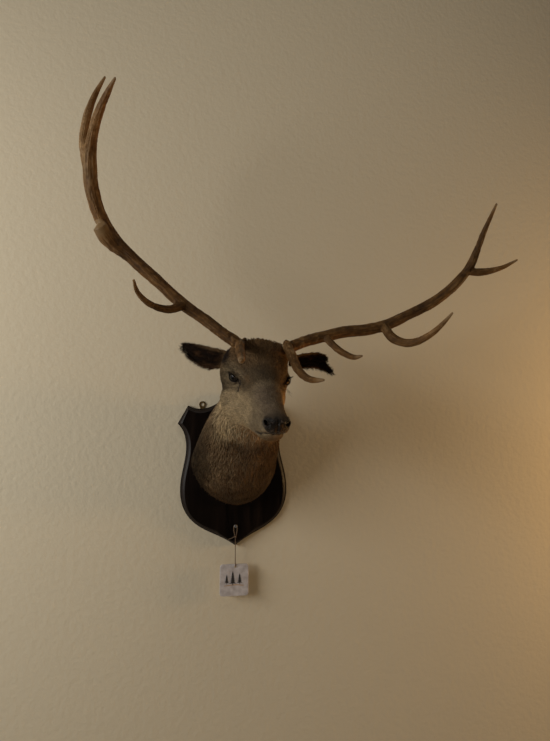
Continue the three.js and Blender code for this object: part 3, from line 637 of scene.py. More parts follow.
def markings(points):
    """The coat's colour at points of the head and neck, with some painted light and shade, the same
    for skin and tufts.
    """
    local = in_head(points)
    x, y, z = local.T
    rough = layered(points / 26, 3) + 0.5 * layered(points / 9, 8)
    colour = np.tile(np.array(FUR["cheek"]), (len(points), 1))
    # The side of the face is cream up to the eye, and brown round it.
    edge = 5 * rough
    border = np.interp(y, *zip(*CREAM))
    wide = 16 + 6 * ramp(y, -60, -130)
    above = ramp(z + edge - border, -wide, wide)
    colour = mixed(colour, "muzzle", 0.85 * ramp(y + edge, -122, -170))
    colour = mixed(colour, "brow", above * ramp(y, -135, -85))
    colour = mixed(colour, "nasal", above * ramp(y, -85, -135))
    # The top of the head: brown on the forehead, darkest on the crown.
    top = ramp(z + edge, 28 - 0.02 * y, 52 - 0.02 * y)
    colour = mixed(colour, "forehead", top * ramp(y + edge, -70, 0))
    colour = mixed(colour, "forehead", ramp(y + edge, 25, 60) * ramp(z, -30, 10))
    colour = mixed(colour, "crown", ramp(y + edge, 0, 42) * ramp(z + edge, 34, 58))
    for name, share, at, radii in SPOTS:
        colour = mixed(colour, name, share * spot(local, at, radii))
    for path, radius, share in PALE:
        near = np.minimum(*[path_near(local * (0.4 * side, 1, 1), path)[0] for side in (-1, 1)])
        colour = mixed(colour, "cheek", share * ramp(near, radius * 1.6, radius * 0.3))
    colour = mixed(colour, "chin", ramp(z, -34, -46) * ramp(y, -180, -205))
    # The neck, mottled, darker below and, as painted shade, toward the board, with a lighter patch
    # at the throat and painted light on its right side.
    neck = on_neck(points + 5 * rough[:, None])
    coat = np.tile(np.array(FUR["neck"]), (len(points), 1))
    coat = mixed(coat, "neck_dark", 0.75 * ramp(points[:, 2], 60, -80) + 0.35 * rough)
    # Painted shade: darker toward the board, where the neck turns away from the light and meets it.
    coat = mixed(coat, "neck_dark", 0.6 * ramp(points[:, 1], -110, -40))
    coat = mixed(coat, "neck_pale", 0.5 * np.clip(layered(points / (34, 34, 60), 21), 0, 1))
    coat = mixed(coat, "forehead", 0.7 * ramp(points[:, 2] - 0.5 * points[:, 1], 360, 440))
    throat = ramp(points[:, 2] + 1.2 * edge, 108, 152) * ramp(points[:, 1] + edge, -222, -264)
    coat = mixed(coat, "cheek", throat)
    coat = mixed(coat, "rufous", 0.25 * np.clip(layered(points / (16, 16, 70), 5), 0, 1))
    whorl = layered(points / 24 + 0.4 * layered(points / 15, 62)[:, None], 61, 2)
    coat = coat * (1 + 0.45 * whorl)[:, None].clip(0.5, 1.6)
    # Painted light: lighter on the neck's right side, which faces the key light, and darker on its
    # left.
    coat = coat * (1.22 - 0.36 * ramp(points[:, 0] + 2 * edge, -85, 20))[:, None]
    flank = np.clip((np.abs(points[:, 0] - 2) + 2 * edge - FLANK[0]) / FLANK[1], 0, 1)
    coat = coat * (1 - 0.72 * flank * ramp(points[:, 2], 215, 165))[:, None]
    colour = colour + (coat - colour) * neck[:, None]
    # Black hair round the ears' roots, spread wider as painted shade between the ears, the antlers'
    # feet and the head.
    root = ramp(spot(local, *EAR_ROOT_AND_SHADE) + 0.15 * rough, 0.3, 0.6)
    colour = mixed(colour, "ear", 0.95 * root)
    # Streaks along the hair and soft patches.
    streak = layered(np.stack([x / 5, y / 24, z / 5], axis=1), 33)
    patch = layered(points / 13, 34, 2)
    fleck = layered(points / 5, 35, 2)
    colour = colour * (1 + 0.30 * streak + 0.22 * patch + 0.22 * fleck)[:, None].clip(0.35, 1.8)
    # Darker beside the brow, a painted shade under the brow tine, and at the back of the cheek;
    # lighter in the middle of the forehead.
    shade = sum(darker * spot(local, at, radii) for darker, at, radii in SHADES)
    colour = colour * (1 - shade)[:, None]
    # Dark lids, tear pits, lips and nose.
    for side in (-1, 1):
        middle, out, front, up = eye_axes(side)
        away = local - middle
        far = np.linalg.norm(away, axis=1)
        facing = away @ out / np.maximum(far, 1e-6)
        ring = np.where(facing > 0.1, opening_at(away, out, front, up), 99)
        colour = mixed(colour, "dark", 0.95 * ramp(ring, 1.5, 1.2) * (far < 34))
    colour = mixed(colour, "dark", lined(local, rough))
    # The hair darkens toward the nose pad.
    close = ramp(y, -218, -240) * ramp(z, -20, 2)
    colour = mixed(colour, "dark", 0.55 * close * (1 + 0.5 * rough))
    colour = mixed(colour, "nose", nose_pad(local))
    # Painted glints: pale grey specks on the upper nose pad stand in for light on its wet bumps.
    glint_specks = ramp(noise(local / 3.4, 54) + 0.5 * noise(local / 9, 55), 0.42, 0.78)
    return mixed(colour, "nose_glint", nose_pad(local) * (glint_specks * ramp(z, -26, -18)))


def lined(local, rough=0):
    """How dark the furrows of the face make points, from 0 to 1."""
    most = np.zeros(len(local))
    for side in (-1, 1):
        for path, radius, _, dark, flat in FURROWS:
            far, share = path_near(local * (side * flat, 1, 1), np.array(path) * (flat, 1, 1))
            wide = radius * (1 + 0.3 * rough)
            near = dark * ramp(far, wide * 1.3, wide * 0.4)
            most = np.maximum(most, near * ramp(share, 1.02, 0.85))
    return most


def nose_pad(local):
    """1 on the bare nose pad, 0 on fur. Its edge is uneven."""
    x, y, z = local.T
    y = y + 4.0 * noise(local / 7, 51)
    front = ramp(y, -233 - 0.10 * np.abs(z + 4), -241 - 0.10 * np.abs(z + 4))
    above = ramp(z + 3 * noise(local / 6, 52), 19, 13)
    mouth = -31 + 0.024 * x**2 + 2.5 * noise(local / 5, 53)
    return front * above * ramp(z, mouth - 1.2, mouth + 1.2) * ramp(np.abs(x), 36, 33)


# ---------------------------------------------------------------- materials
class Look:
    """A material on its Principled shader, with the nodes that feed it."""

    def __init__(self, name, roughness, colour=None, **sockets):
        self.made = bpy.data.materials.new(name)
        self.made.use_nodes = True
        self.tree = self.made.node_tree
        self.shader = self.tree.nodes["Principled BSDF"]
        self.shader.inputs["Roughness"].default_value = roughness
        if colour:
            self.shader.inputs["Base Color"].default_value = (*colour, 1)
        for key, value in sockets.items():
            self.shader.inputs[key.replace("_", " ")].default_value = value

    def feed(self, node, socket, output):
        self.tree.links.new(output, node.inputs[socket])

    def node(self, kind, **values):
        node = self.tree.nodes.new("ShaderNode" + kind)
        for key, value in values.items():
            if hasattr(node, key):
                setattr(node, key, value)
            else:
                node.inputs[key.replace("_", " ")].default_value = value
        return node

    def attribute(self, name):
        return self.node("Attribute", attribute_name=name).outputs["Fac"]

    def paint(self, name):
        return self.node("VertexColor", layer_name=name).outputs["Color"]

    def textured(self, kind, output, scale=None, turn=(0, 0, 0), **values):
        """A texture in metres of the row's frame, stretched and turned where scale is given."""
        texture = self.node(kind, **values)
        place = self.node("TexCoord").outputs["Object"]
        if scale is not None:
            mapping = self.node("Mapping")
            mapping.inputs["Rotation"].default_value = turn
            mapping.inputs["Scale"].default_value = scale
            self.feed(mapping, "Vector", place)
            place = mapping.outputs["Vector"]
        self.feed(texture, "Vector", place)
        return texture.outputs[output]

    def noise(self, size, detail, scale=None, turn=(0, 0, 0), **values):
        return self.textured("TexNoise", "Fac", scale, turn, Scale=size, Detail=detail, **values)

    def ranged(self, value, low, high, to_low, to_high):
        node = self.node("MapRange")
        limits = {"From Min": low, "From Max": high, "To Min": to_low, "To Max": to_high}
        for name, number in limits.items():
            node.inputs[name].default_value = number
        self.feed(node, "Value", value)
        return node.outputs["Result"]

    def multiplied(self, colour, by):
        node = self.node("Mix", data_type="RGBA", blend_type="MULTIPLY")
        node.inputs["Factor"].default_value = 1
        self.feed(node, "A", colour)
        self.feed(node, "B", by)
        return node.outputs["Result"]

    def graded(self, value, stops):
        """Colours along a value: the place and the colour of each stop."""
        node = self.node("ValToRGB")
        bar = node.color_ramp
        while len(bar.elements) < len(stops):
            bar.elements.new(0.5)
        for element, (at, colour) in zip(bar.elements, stops):
            element.position = at
            element.color = (*colour, 1)
        self.feed(node, "Fac", value)
        return node.outputs["Color"]

    def colour(self, output):
        self.feed(self.shader, "Base Color", output)

    def roughness(self, output):
        self.feed(self.shader, "Roughness", output)

    def bump(self, height, strength, distance):
        node = self.node("Bump", Strength=strength, Distance=distance)
        self.feed(node, "Height", height)
        self.feed(self.shader, "Normal", node.outputs["Normal"])


# Fine streaks of hair that run along the head: how close they lie, and how they lean.
STREAKS = [(900, 160, 900), (math.radians(-31), 0, 0)]


def hair_streaks(look, dark, pale):
    """Feeds the coat's colour with streaks in it, and gives the streaks."""
    streaks = look.noise(1.0, 3.0, *STREAKS)
    shade = look.ranged(streaks, 0.3, 0.7, dark, pale)
    look.colour(look.multiplied(look.paint("Coat"), shade))
    return streaks


def fur_material():
    """Hair: the markings' colour, with fine streaks."""
    sheen = {"Sheen_Weight": 0.02, "Sheen_Roughness": 0.5}
    look = Look("fur", 0.8, Specular_IOR_Level=0.05, **sheen)
    look.bump(hair_streaks(look, 0.72, 1.25), 0.6, 0.0012)
    return look.made


def skin_material():
    """The skin: fur close to it, and the bare, wet, pebbled nose pad where Wet is 1."""
    look = Look("skin", 0.72, Specular_IOR_Level=0.2)
    streaks = hair_streaks(look, 0.75, 1.2)
    wet = look.attribute("Wet")
    look.roughness(look.ranged(wet, 0, 1, 0.78, 0.36))
    pebbles = look.textured("TexVoronoi", "Distance", feature="F1", Scale=260.0)
    heights = look.node("Mix", data_type="FLOAT")
    look.feed(heights, "Factor", wet)
    look.feed(heights, "A", streaks)
    look.feed(heights, "B", pebbles)
    look.bump(heights.outputs["Result"], 0.8, 0.0022)
    return look.made


# ---------------------------------------------------------------- coat
UV_PATCH = 0.003
MOST_FACES = 190000
# How light a tuft is at its root and tip, and how deep in the skin it stands, in mm.
TONES = (0.72, 1.3)
ROOTED = 0.8
LONG_HAIR = (0, 0.35, 0.72)
SHORT_HAIR = (0, 0.5)
# No tufts stand behind this depth, in the board.
BOARD_FACE = -26.5
# Tufts for each square mm, and the ranges of width, lift by the coat's depth, and sweep.
COATS = {
    "coat_face": (0.17, (0.9, 1.5), (0.7, 1.1), 0.9, SHORT_HAIR),
    "coat_cheek": (0.13, (0.9, 1.5), (0.7, 1.1), 0.9, SHORT_HAIR),
    "coat_crown": (0.10, (1.6, 2.8), (0.7, 1.35), 3.0, LONG_HAIR),
    "coat_neck": (0.125, (2.0, 3.6), (0.65, 1.05), 3.5, LONG_HAIR),
}


def unwrapped(piece):
    """Gives a piece the OFBake map, an unwrap of its own shape."""
    mesh = piece.data
    mesh.uv_layers.new(name="OFBake")
    bpy.context.view_layer.objects.active = piece
    piece.select_set(True)
    bpy.ops.object.mode_set(mode="EDIT")
    bpy.ops.mesh.select_all(action="SELECT")
    bpy.ops.uv.smart_project(angle_limit=math.radians(66), island_margin=0.002)
    bpy.ops.object.mode_set(mode="OBJECT")
    piece.select_set(False)


class Ground:
    """The triangles of a skin mesh, for setting tufts on it."""

    def __init__(self, mesh):
        mesh.calc_loop_triangles()
        count = len(mesh.loop_triangles)
        self.corners = np.empty(count * 3, np.int32)
        mesh.loop_triangles.foreach_get("vertices", self.corners)
        self.corners = self.corners.reshape(-1, 3)
        loops = np.empty(count * 3, np.int32)
        mesh.loop_triangles.foreach_get("loops", loops)
        uv = np.empty(len(mesh.loops) * 2)
        mesh.uv_layers["OFBake"].data.foreach_get("uv", uv)
        self.uv = uv.reshape(-1, 2)[loops.reshape(-1, 3)]
        self.points = coords(mesh)
        self.normals = normals(mesh)
        p = self.points[self.corners]
        self.area = np.linalg.norm(np.cross(p[:, 1] - p[:, 0], p[:, 2] - p[:, 0]), axis=1) / 2
        self.middle = p.mean(axis=1)

    def sow(self, share, rng):
        """Random roots: share is the wished number of tufts per square mm at each triangle."""
        wish = self.area * share
        count = int(wish.sum())
        chosen = np.sort(rng.choice(len(wish), count, p=wish / wish.sum()))
        a, b = rng.random((2, count))
        flip = a + b > 1
        a, b = np.where(flip, 1 - a, a), np.where(flip, 1 - b, b)
        weights = np.stack([1 - a - b, a, b], axis=1)
        corner = self.corners[chosen]
        point = np.einsum("nk,nkd->nd", weights, self.points[corner])
        out = unit(np.einsum("nk,nkd->nd", weights, self.normals[corner]))
        uv = np.einsum("nk,nkd->nd", weights, self.uv[chosen])
        return point, out, uv


def tufts(name, roots, outward, along, uv, sizes, colour, steps):
    """Joined meshes of closed, three-sided, pointed tufts.

    sizes has length, width, lift of the tip and sideways sweep for each tuft, in mm.
    steps has where along a tuft its rings of corners lie.
    """
    count = len(roots)
    length, width, lift, sweep = (np.broadcast_to(v, (count,)) for v in sizes)
    along = unit(along - outward * np.sum(along * outward, axis=1, keepdims=True))
    side = np.cross(outward, along)
    rings = len(steps)
    block = rings * 3 + 1
    points = np.empty((count, block, 3))
    paint = np.empty((count, block, 3))
    patch = np.empty((count, block, 2))
    widths = np.interp(steps, (0, 0.3, 0.75, 1), (0.6, 1, 0.75, 0))
    for i, t in enumerate((*steps, 1.0)):
        middle = (
            roots
            + along * (length * t)[:, None]
            + outward * (lift * (1 - (1 - t) ** 2) - ROOTED * (1 - t))[:, None]
            + side * (sweep * t * t)[:, None]
        )
        tone = TONES[0] + (TONES[1] - TONES[0]) * t
        if i == rings:
            points[:, -1] = middle
            paint[:, -1] = colour * tone
            patch[:, -1] = uv + (0, UV_PATCH / 2)
            continue
        half = width * widths[i] / 2
        for k, (across, rise) in enumerate(((-1, 0), (1, 0), (0, 0.7))):
            corner = i * 3 + k
            aside = side * (half * across)[:, None]
            points[:, corner] = middle + aside + outward * (half * rise)[:, None]
            paint[:, corner] = colour * tone
            patch[:, corner] = uv + (across * UV_PATCH / 2, (t - 0.5) * UV_PATCH)
    faces = [(0, 2, 1)]
    for i in range(rings - 1):
        for k in range(3):
            a, b = i * 3 + k, i * 3 + (k + 1) % 3
            faces += [(a, b, b + 3), (a, b + 3, a + 3)]
    last = (rings - 1) * 3
    faces += [(last + k, last + (k + 1) % 3, block - 1) for k in range(3)]
    faces = np.array(faces)
    pieces = math.ceil(count * len(faces) / MOST_FACES)
    for number, part in enumerate(np.array_split(np.arange(count), pieces), 1):
        corners = (faces[None] + (np.arange(len(part)) * block)[:, None, None]).reshape(-1, 3)
        title = f"{name}_{number}" if pieces > 1 else name
        mesh = new_mesh(title, points[part].reshape(-1, 3), corners)
        set_colour(mesh, "Coat", paint[part].reshape(-1, 3))
        layer = mesh.uv_layers.new(name="OFBake")
        layer.data.foreach_set("uv", patch[part].reshape(-1, 2)[corners.ravel()].ravel())
        yield title, mesh


def hair_lie(points, outward):
    """The direction the coat lies at points of head and neck: back from the nose, down the neck."""
    local = in_head(points)
    x, y, z = local.T
    lean = -0.25 - 0.35 * ramp(z, 20, -40)
    back = turned(np.stack([0.12 * x / 60, np.ones(len(x)), lean], axis=1))
    neck = on_neck(points)[:, None]
    low = ramp(points[:, 2], 260, 60)[:, None]
    down = np.concatenate([0 * low, 0.8 - 0.45 * low, -0.55 - 0.5 * low], axis=1)
    lie = unit(back * (1 - neck) + down * neck)
    # Near the board the hair turns outward, along it.
    close = ramp(points[:, 1], -75, -34)[:, None]
    spread = outward * (1, 0, 1) + (0, 0, -0.5)
    lie = lie * (1 - close) + unit(spread) * close
    swirl = np.stack([layered(points / 42, 40 + k, 2) for k in range(3)], axis=1)
    return unit(lie + 0.45 * swirl)


def coat_shares(middle):
    """How much of each coat grows at the middles of the skin's faces."""
    local = in_head(middle)
    neck = on_neck(middle)
    bare = np.maximum(nose_pad(local), lined(local))
    for side in (-1, 1):
        centre, out, front, up = eye_axes(side)
        away = local - centre
        ring = opening_at(away, out, front, up)
        near = (np.linalg.norm(away, axis=1) < 30) * (away @ out > 0)
        bare = np.maximum(bare, ramp(ring, 1.9, 1.3) * near)
    crown = ramp(local[:, 1], 16, 48) * ramp(local[:, 2], 44, 62) * (1 - neck)
    face = (1 - neck) * (1 - bare) * (1 - crown)
    return {
        "coat_face": face * ramp(local[:, 1], -40, -60),
        "coat_cheek": face * ramp(local[:, 1], -60, -40),
        "coat_crown": crown,
        "coat_neck": neck,
    }


def hair_length(name, roots, lie, vary):
    """The length of the hair, which is short over the furrows of the face, in mm."""
    if name == "coat_neck":
        hem = ramp(roots[:, 1], -70, -36)
        return (26 + 12 * ramp(roots[:, 2], 220, 0)) * (1 - 0.6 * hem) * vary
    if name == "coat_crown":
        return 20 * vary
    at = in_head(roots)
    line = lined(at)
    for reach in (3.0, 6.0, 9.0):
        line = np.maximum(line, lined(in_head(roots + reach * unit(lie))))
    length = 4.5 + 7 * ramp(at[:, 1], -240, 40) + 5 * ramp(at[:, 2], -40, -100)
    return length * vary * (1 - 0.8 * line)


def grow_coat(skin, fur):
    ground = Ground(skin.data)
    shares = coat_shares(ground.middle)
    shown = ground.middle[:, 1] <= BOARD_FACE
    for number, (name, (density, widths, lifts, sweep, steps)) in enumerate(COATS.items()):
        rng = np.random.default_rng(100 + number)
        roots, outward, uv = ground.sow(shares[name] * density * shown, rng)
        count = len(roots)
        lie = hair_lie(roots, outward) + 0.16 * rng.normal(size=(count, 3))
        colour = markings(roots) * rng.uniform(0.72, 1.32, (count, 1))
        vary = rng.uniform(0.75, 1.2, count)
        length, wider, slot = hair_length(name, roots, lie, vary), 1, "coat_neck"
        if name in ("coat_face", "coat_cheek"):
            wider, slot = 1 + 0.5 * ramp(in_head(roots)[:, 1], -240, 40), "coat_face"
        if name == "coat_crown":
            lie = lie + 0.35 * outward
        sizes = (
            length,
            rng.uniform(*widths, count) * wider,
            coat_depth(roots) * rng.uniform(*lifts, count),
            rng.normal(0, sweep, count),
        )
        for title, mesh in tufts(name, roots, outward, lie, uv, sizes, colour, steps):
            add_piece(title, mesh, fur, slot)


# ---------------------------------------------------------------- eyes
SIDES = ((-1, "right"), (1, "left"))
# How much lighter the iris is than the pupil, and the pupil's grey.
IRIS = (0.006, 0.003, 0.002)
PUPIL = 0.0015
# How many long feelers stand below each eye.
FEELERS = {"right": 3, "left": 8}


def almond(side, steps, reach, radius):
    """Points round the eye's opening, on a sphere about the eyeball, in the head's frame."""
    middle, out, front, up = eye_axes(side)
    turn = circle(steps)
    wide, tall = np.cos(turn), np.sin(turn)
    along = np.sign(wide) * np.abs(wide) ** (2 / ALMOND[0]) * reach
    along = along * np.where(along > 0, OPENING["front"], OPENING["back"])
    rise = np.sign(tall) * np.abs(tall) ** (2 / ALMOND[1]) * reach
    rise = rise * np.where(rise > 0, OPENING["upper"], OPENING["lower"])
    way = out + np.tan(np.radians(along))[:, None] * front + np.tan(np.radians(rise))[:, None] * up
    return middle + unit(way) * radius, unit(way), turn


def ring_tube(centres, radii, first, second, sides):
    """A closed ring of tube round centres, its section spanned by two directions."""
    turn = circle(sides)
    points = (
        centres[:, None]
        + first[:, None] * (np.cos(turn)[None, :, None] * radii[:, None, None])
        + second[:, None] * (np.sin(turn)[None, :, None] * radii[:, None, None])
    ).reshape(-1, 3)
    n = len(centres)
    i, k = np.meshgrid(np.arange(n), np.arange(sides), indexing="ij")
    j, m = (i + 1) % n, (k + 1) % sides
    quads = np.stack([i * sides + k, j * sides + k, j * sides + m, i * sides + m], axis=-1)
    return points, quads.reshape(-1, 4)


def ball(radius, wide=48, high=32):
    """Points and faces of a sphere about the origin with its poles on x."""
    t, d = np.meshgrid(circle(wide), np.linspace(0, np.pi, high + 1)[1:-1])
    points = np.stack([np.cos(d), np.sin(d) * np.cos(t), np.sin(d) * np.sin(t)], axis=-1)
    points = np.vstack([points.reshape(-1, 3), [(1, 0, 0), (-1, 0, 0)]]) * radius
    k = np.arange(wide)
    m = (k + 1) % wide
    top, end = len(points) - 2, (high - 2) * wide
    caps = np.vstack([
        np.stack([k, m, np.full(wide, top)], axis=1)[:, ::-1],
        np.stack([end + k, end + m, np.full(wide, top + 1)], axis=1),
    ])
    return points, ring_faces(high - 1, wide), caps


def make_eyes():
    glass = Look("eye_glass", 0.10, Specular_IOR_Level=0.16)
    glass.colour(glass.paint("Iris"))
    dark = Look("lid_rim", 0.6, (0.003, 0.002, 0.0015), Specular_IOR_Level=0.1)
    for side, word in SIDES:
        middle, out, front, up = eye_axes(side)
        points, quads, caps = ball(EYE["radius"] - 0.4)
        # A low cornea over the pupil.
        facing = points[:, 0] / np.linalg.norm(points, axis=1)
        points = points * (1 + 0.045 * ramp(facing, 0.80, 0.97))[:, None]
        spread = np.hypot(points[:, 1] / 1.5, points[:, 2]) / EYE["radius"]
        whole = np.hypot(points[:, 1], points[:, 2]) / EYE["radius"]
        iris = np.array([IRIS]) * ramp(whole, 0.78, 0.62)[:, None]
        iris = iris * ramp(spread, 0.22, 0.34)[:, None] + PUPIL
        spin = np.stack([out, front, up], axis=1)
        mesh = new_mesh(f"eyeball_{word}", from_head(points @ spin.T + middle), quads, caps)
        set_colour(mesh, "Iris", iris)
        add_piece(f"eyeball_{word}", mesh, glass.made, "eye", [f"eye_{word}"])
        rim, way, turn = almond(side, 64, 1.02, EYE["radius"] + 0.9)
        tangent = unit(np.roll(rim, -1, axis=0) - np.roll(rim, 1, axis=0))
        swell = 1.0 + 0.7 * ramp(np.sin(turn), 0.0, 0.7)
        points, faces = ring_tube(rim, swell, way, np.cross(way, tangent), 10)
        mesh = new_mesh(f"lid_rim_{word}", from_head(points), faces)
        add_piece(f"lid_rim_{word}", mesh, dark.made, "eye")


def make_lashes(fur):
    """Lashes on the upper lids and a few long feelers below the eyes."""
    rng = np.random.default_rng(9)
    for side, word in SIDES:
        middle, out, front, up = eye_axes(side)
        rim, way, turn = almond(side, 120, 1.03, EYE["radius"] + 2.2)
        upper = np.sin(turn) > 0.25
        rim, way = rim[upper], way[upper]
        lean = unit(way * 1.0 + up * 0.35 + rng.normal(0, 0.12, way.shape))
        count, extra = len(rim), FEELERS[word]
        spots = middle + out * 15 + front * rng.uniform(6, 16, (extra, 1))
        spots = spots - up * rng.uniform(20, 26, (extra, 1))
        feelers = unit(out * 0.8 + front * 0.5 - up * 0.3 + rng.normal(0, 0.12, (extra, 3)))
        roots, lie = np.vstack([rim, spots]), np.vstack([lean, feelers])
        outward = np.cross(lie, front)
        sizes = (
            np.concatenate([rng.uniform(5, 9, count), rng.uniform(18, 28, extra)]),
            np.concatenate([np.full(count, 0.5), np.full(extra, 0.45)]),
            np.concatenate([rng.uniform(1.5, 3, count), rng.uniform(-2, 2, extra)]),
            rng.normal(0, 1.0, count + extra),
        )
        colour = np.tile(np.array(FUR["dark"]), (count + extra, 1))
        uv = np.full((count + extra, 2), 0.5)
        placed = (from_head(roots), turned(unit(outward)), turned(lie))
        for title, mesh in tufts(f"lashes_{word}", *placed, uv, sizes, colour, LONG_HAIR):
            add_piece(title, mesh, fur, "coat_face")


# ---------------------------------------------------------------- ears
# widths are shares of the width from root to tip, and torn is the share that the tear takes.
EARS = {
    "right": {
        "base": (-56, -318, 332), "tip": (-184, -285, 374),
        "facing": (-0.12, -0.93, -0.34),
        "width": 28, "cup": 17, "thickness": 7, "droop": -10, "bend": 1, "torn": 0,
        "widths": (0.78, 0.92, 1, 0.98, 0.9, 0.74, 0.48, 0.12),
    },
    "left": {
        "base": (118, -318, 334), "tip": (248, -300, 308),
        "facing": (0.15, -0.95, -0.28),
        "width": 20, "cup": 12, "thickness": 7, "droop": 22, "bend": 1.5, "torn": 0.8,
        "widths": (0.8, 0.9, 0.95, 1, 1, 0.98, 0.8, 0.2),
    },
}
# The shares of the length between which the torn side runs in.
TEAR = (0.79, 0.85)
EAR_ROWS = 60
EAR_COLUMNS = 28


def ear_surface(ear, seed):
    """The ear's skin: points in rings, faces, each point's share of the length, share across
    and 1 on the front, and the ear's two directions and the sign of its lower side."""
    base, tip = np.array(ear["base"], float), np.array(ear["tip"], float)
    length = np.linalg.norm(tip - base)
    along = (tip - base) / length
    facing = np.array(ear["facing"], float)
    facing = unit(facing - along * (facing @ along))
    across = np.cross(facing, along)
    lower = 1 if across[2] < 0 else -1
    rows, values = [], []
    v = np.linspace(-1, 1, EAR_COLUMNS)
    share = np.linspace(0, 1, len(ear["widths"]))
    share = np.interp(np.linspace(0, 1, EAR_ROWS), share, ear["widths"])
    for i in range(EAR_ROWS):
        t = i / (EAR_ROWS - 1)
        torn = 1 - ear["torn"] * float(ramp(t, *TEAR))
        width = (ear["width"] - 1.2) * share[i] * np.where(v * lower < 0, torn, 1)
        place = np.stack([t * 14 + 0 * v, np.sign(v) * 3, 0 * v], axis=1)
        ragged = 1 + 0.05 * noise(place, seed)
        cup = ear["cup"] * (1 - 0.75 * t) * share[i]
        wall = (ear["thickness"] - 1.5) * (1 - 0.45 * t)
        ridges = 0.9 * np.cos(v * 11) * ramp(t, 0.02, 0.2) * ramp(t, 0.95, 0.6)
        ridges = ridges * ramp(np.abs(v), 0.95, 0.6)
        droop = (0, 0, ear["droop"] * math.sin(math.pi * t ** ear["bend"]))
        front = (
            base + along * length * t + droop
            + across * (width * v * ragged)[:, None]
            + facing * (cup * (v * v - 0.5) - 0.7 + ridges)[:, None]
        )
        back = front - facing * ((wall - 0.4) * (1 - 0.75 * v * v) + ridges)[:, None]
        rows += [front, back[::-1]]
        for order, face in ((v, 1.0), (v[::-1], 0.0)):
            values.append(np.stack([t + 0 * v, order, face + 0 * v], axis=1))
    points = np.concatenate(rows)
    ring = 2 * EAR_COLUMNS
    ends = []
    for start in (0, (EAR_ROWS - 1) * ring):
        a = start + np.arange(EAR_COLUMNS - 1)
        b = start + ring - 1 - np.arange(EAR_COLUMNS - 1)
        strip = np.stack([a, a + 1, b - 1, b], axis=1)
        ends.append(strip if start else strip[:, ::-1])
    quads = np.vstack([ring_faces(EAR_ROWS, ring), *ends])
    p = points[quads]
    solid = np.einsum("ij,ij->i", p[:, 0], np.cross(p[:, 1], p[:, 2])).sum()
    solid += np.einsum("ij,ij->i", p[:, 0], np.cross(p[:, 2], p[:, 3])).sum()
    if solid < 0:
        quads = quads[:, ::-1]
    return points, quads, np.concatenate(values), along, across, lower


def ear_colours(points, values, lower):
    """Black-brown ears, paler toward the root and along one edge."""
    t, v, front = values.T
    rough = layered(points / 7, 60, 3)
    colour = np.tile(np.array(FUR["ear"]), (len(points), 1))
    inside = 0.55 * np.clip(layered(points / (18, 6, 5), 61, 2) * 2.2 - 0.2, 0, 1)
    colour = mixed(colour, "ear_brown", inside * (front > 0.5))
    colour = mixed(colour, "ear_brown", 0.75 * (front < 0.5) * ramp(t, 0.95, 0.3) + 0.2 * rough)
    edge = ramp(-v * lower, 0.55, 0.95)
    colour = mixed(colour, "forehead", 0.6 * edge * ramp(t, 0.8, 0.4))
    return mixed(colour, "forehead", ramp(t, 0.22, 0.02))


def make_ears(fur):
    for seed, (word, ear) in enumerate(EARS.items()):
        points, quads, values, along, across, lower = ear_surface(ear, 70 + seed)
        mesh = new_mesh(f"ear_skin_{word}", points, quads)
        shades = ear_colours(points, values, lower)
        set_colour(mesh, "Coat", shades * 0.9)
        piece = add_piece(f"ear_skin_{word}", mesh, fur, "coat_ear", [f"ear_{word}"])
        unwrapped(piece)
        ground = Ground(mesh)
        rng = np.random.default_rng(200 + seed)
        edge = ramp(np.abs(values[ground.corners].mean(axis=1)[:, 1]), 0.72, 0.97)
        roots, outward, uv = ground.sow(0.24 + 0.5 * edge, rng)
        count = len(roots)
        tree = BVHTree.FromPolygons((points * MM).tolist(), quads.tolist())
        nearest = quads[[tree.find_nearest(Vector(p * MM))[2] for p in roots]]
        t, v, front = values[nearest].mean(axis=1).T
        rim = ramp(np.abs(v), 0.6, 0.95) * ramp(t, 0.04, 0.2)
        below = rim * (v * lower > 0)
        aside = across * np.sign(v)[:, None]
        way = along + aside * (0.5 * rim + 0.45 * below)[:, None]
        way = unit(way + rng.normal(0, 0.18, (count, 3)))
        colour = shades[nearest].mean(axis=1) * rng.uniform(0.65, 1.6, (count, 1))
        sizes = (
            (6 + 4 * rim + 6 * below) * rng.uniform(0.7, 1.3, count),
            rng.uniform(0.8, 1.5, count),
            rng.uniform(0.6, 1.6, count) + 1.5 * ramp(t, 0.3, 0.05),
            rng.normal(0, 1.2, count),
        )
        placed = (roots, outward, way)
        for title, mesh in tufts(f"coat_ear_{word}", *placed, uv, sizes, colour, SHORT_HAIR):
            add_piece(title, mesh, fur, "coat_ear")


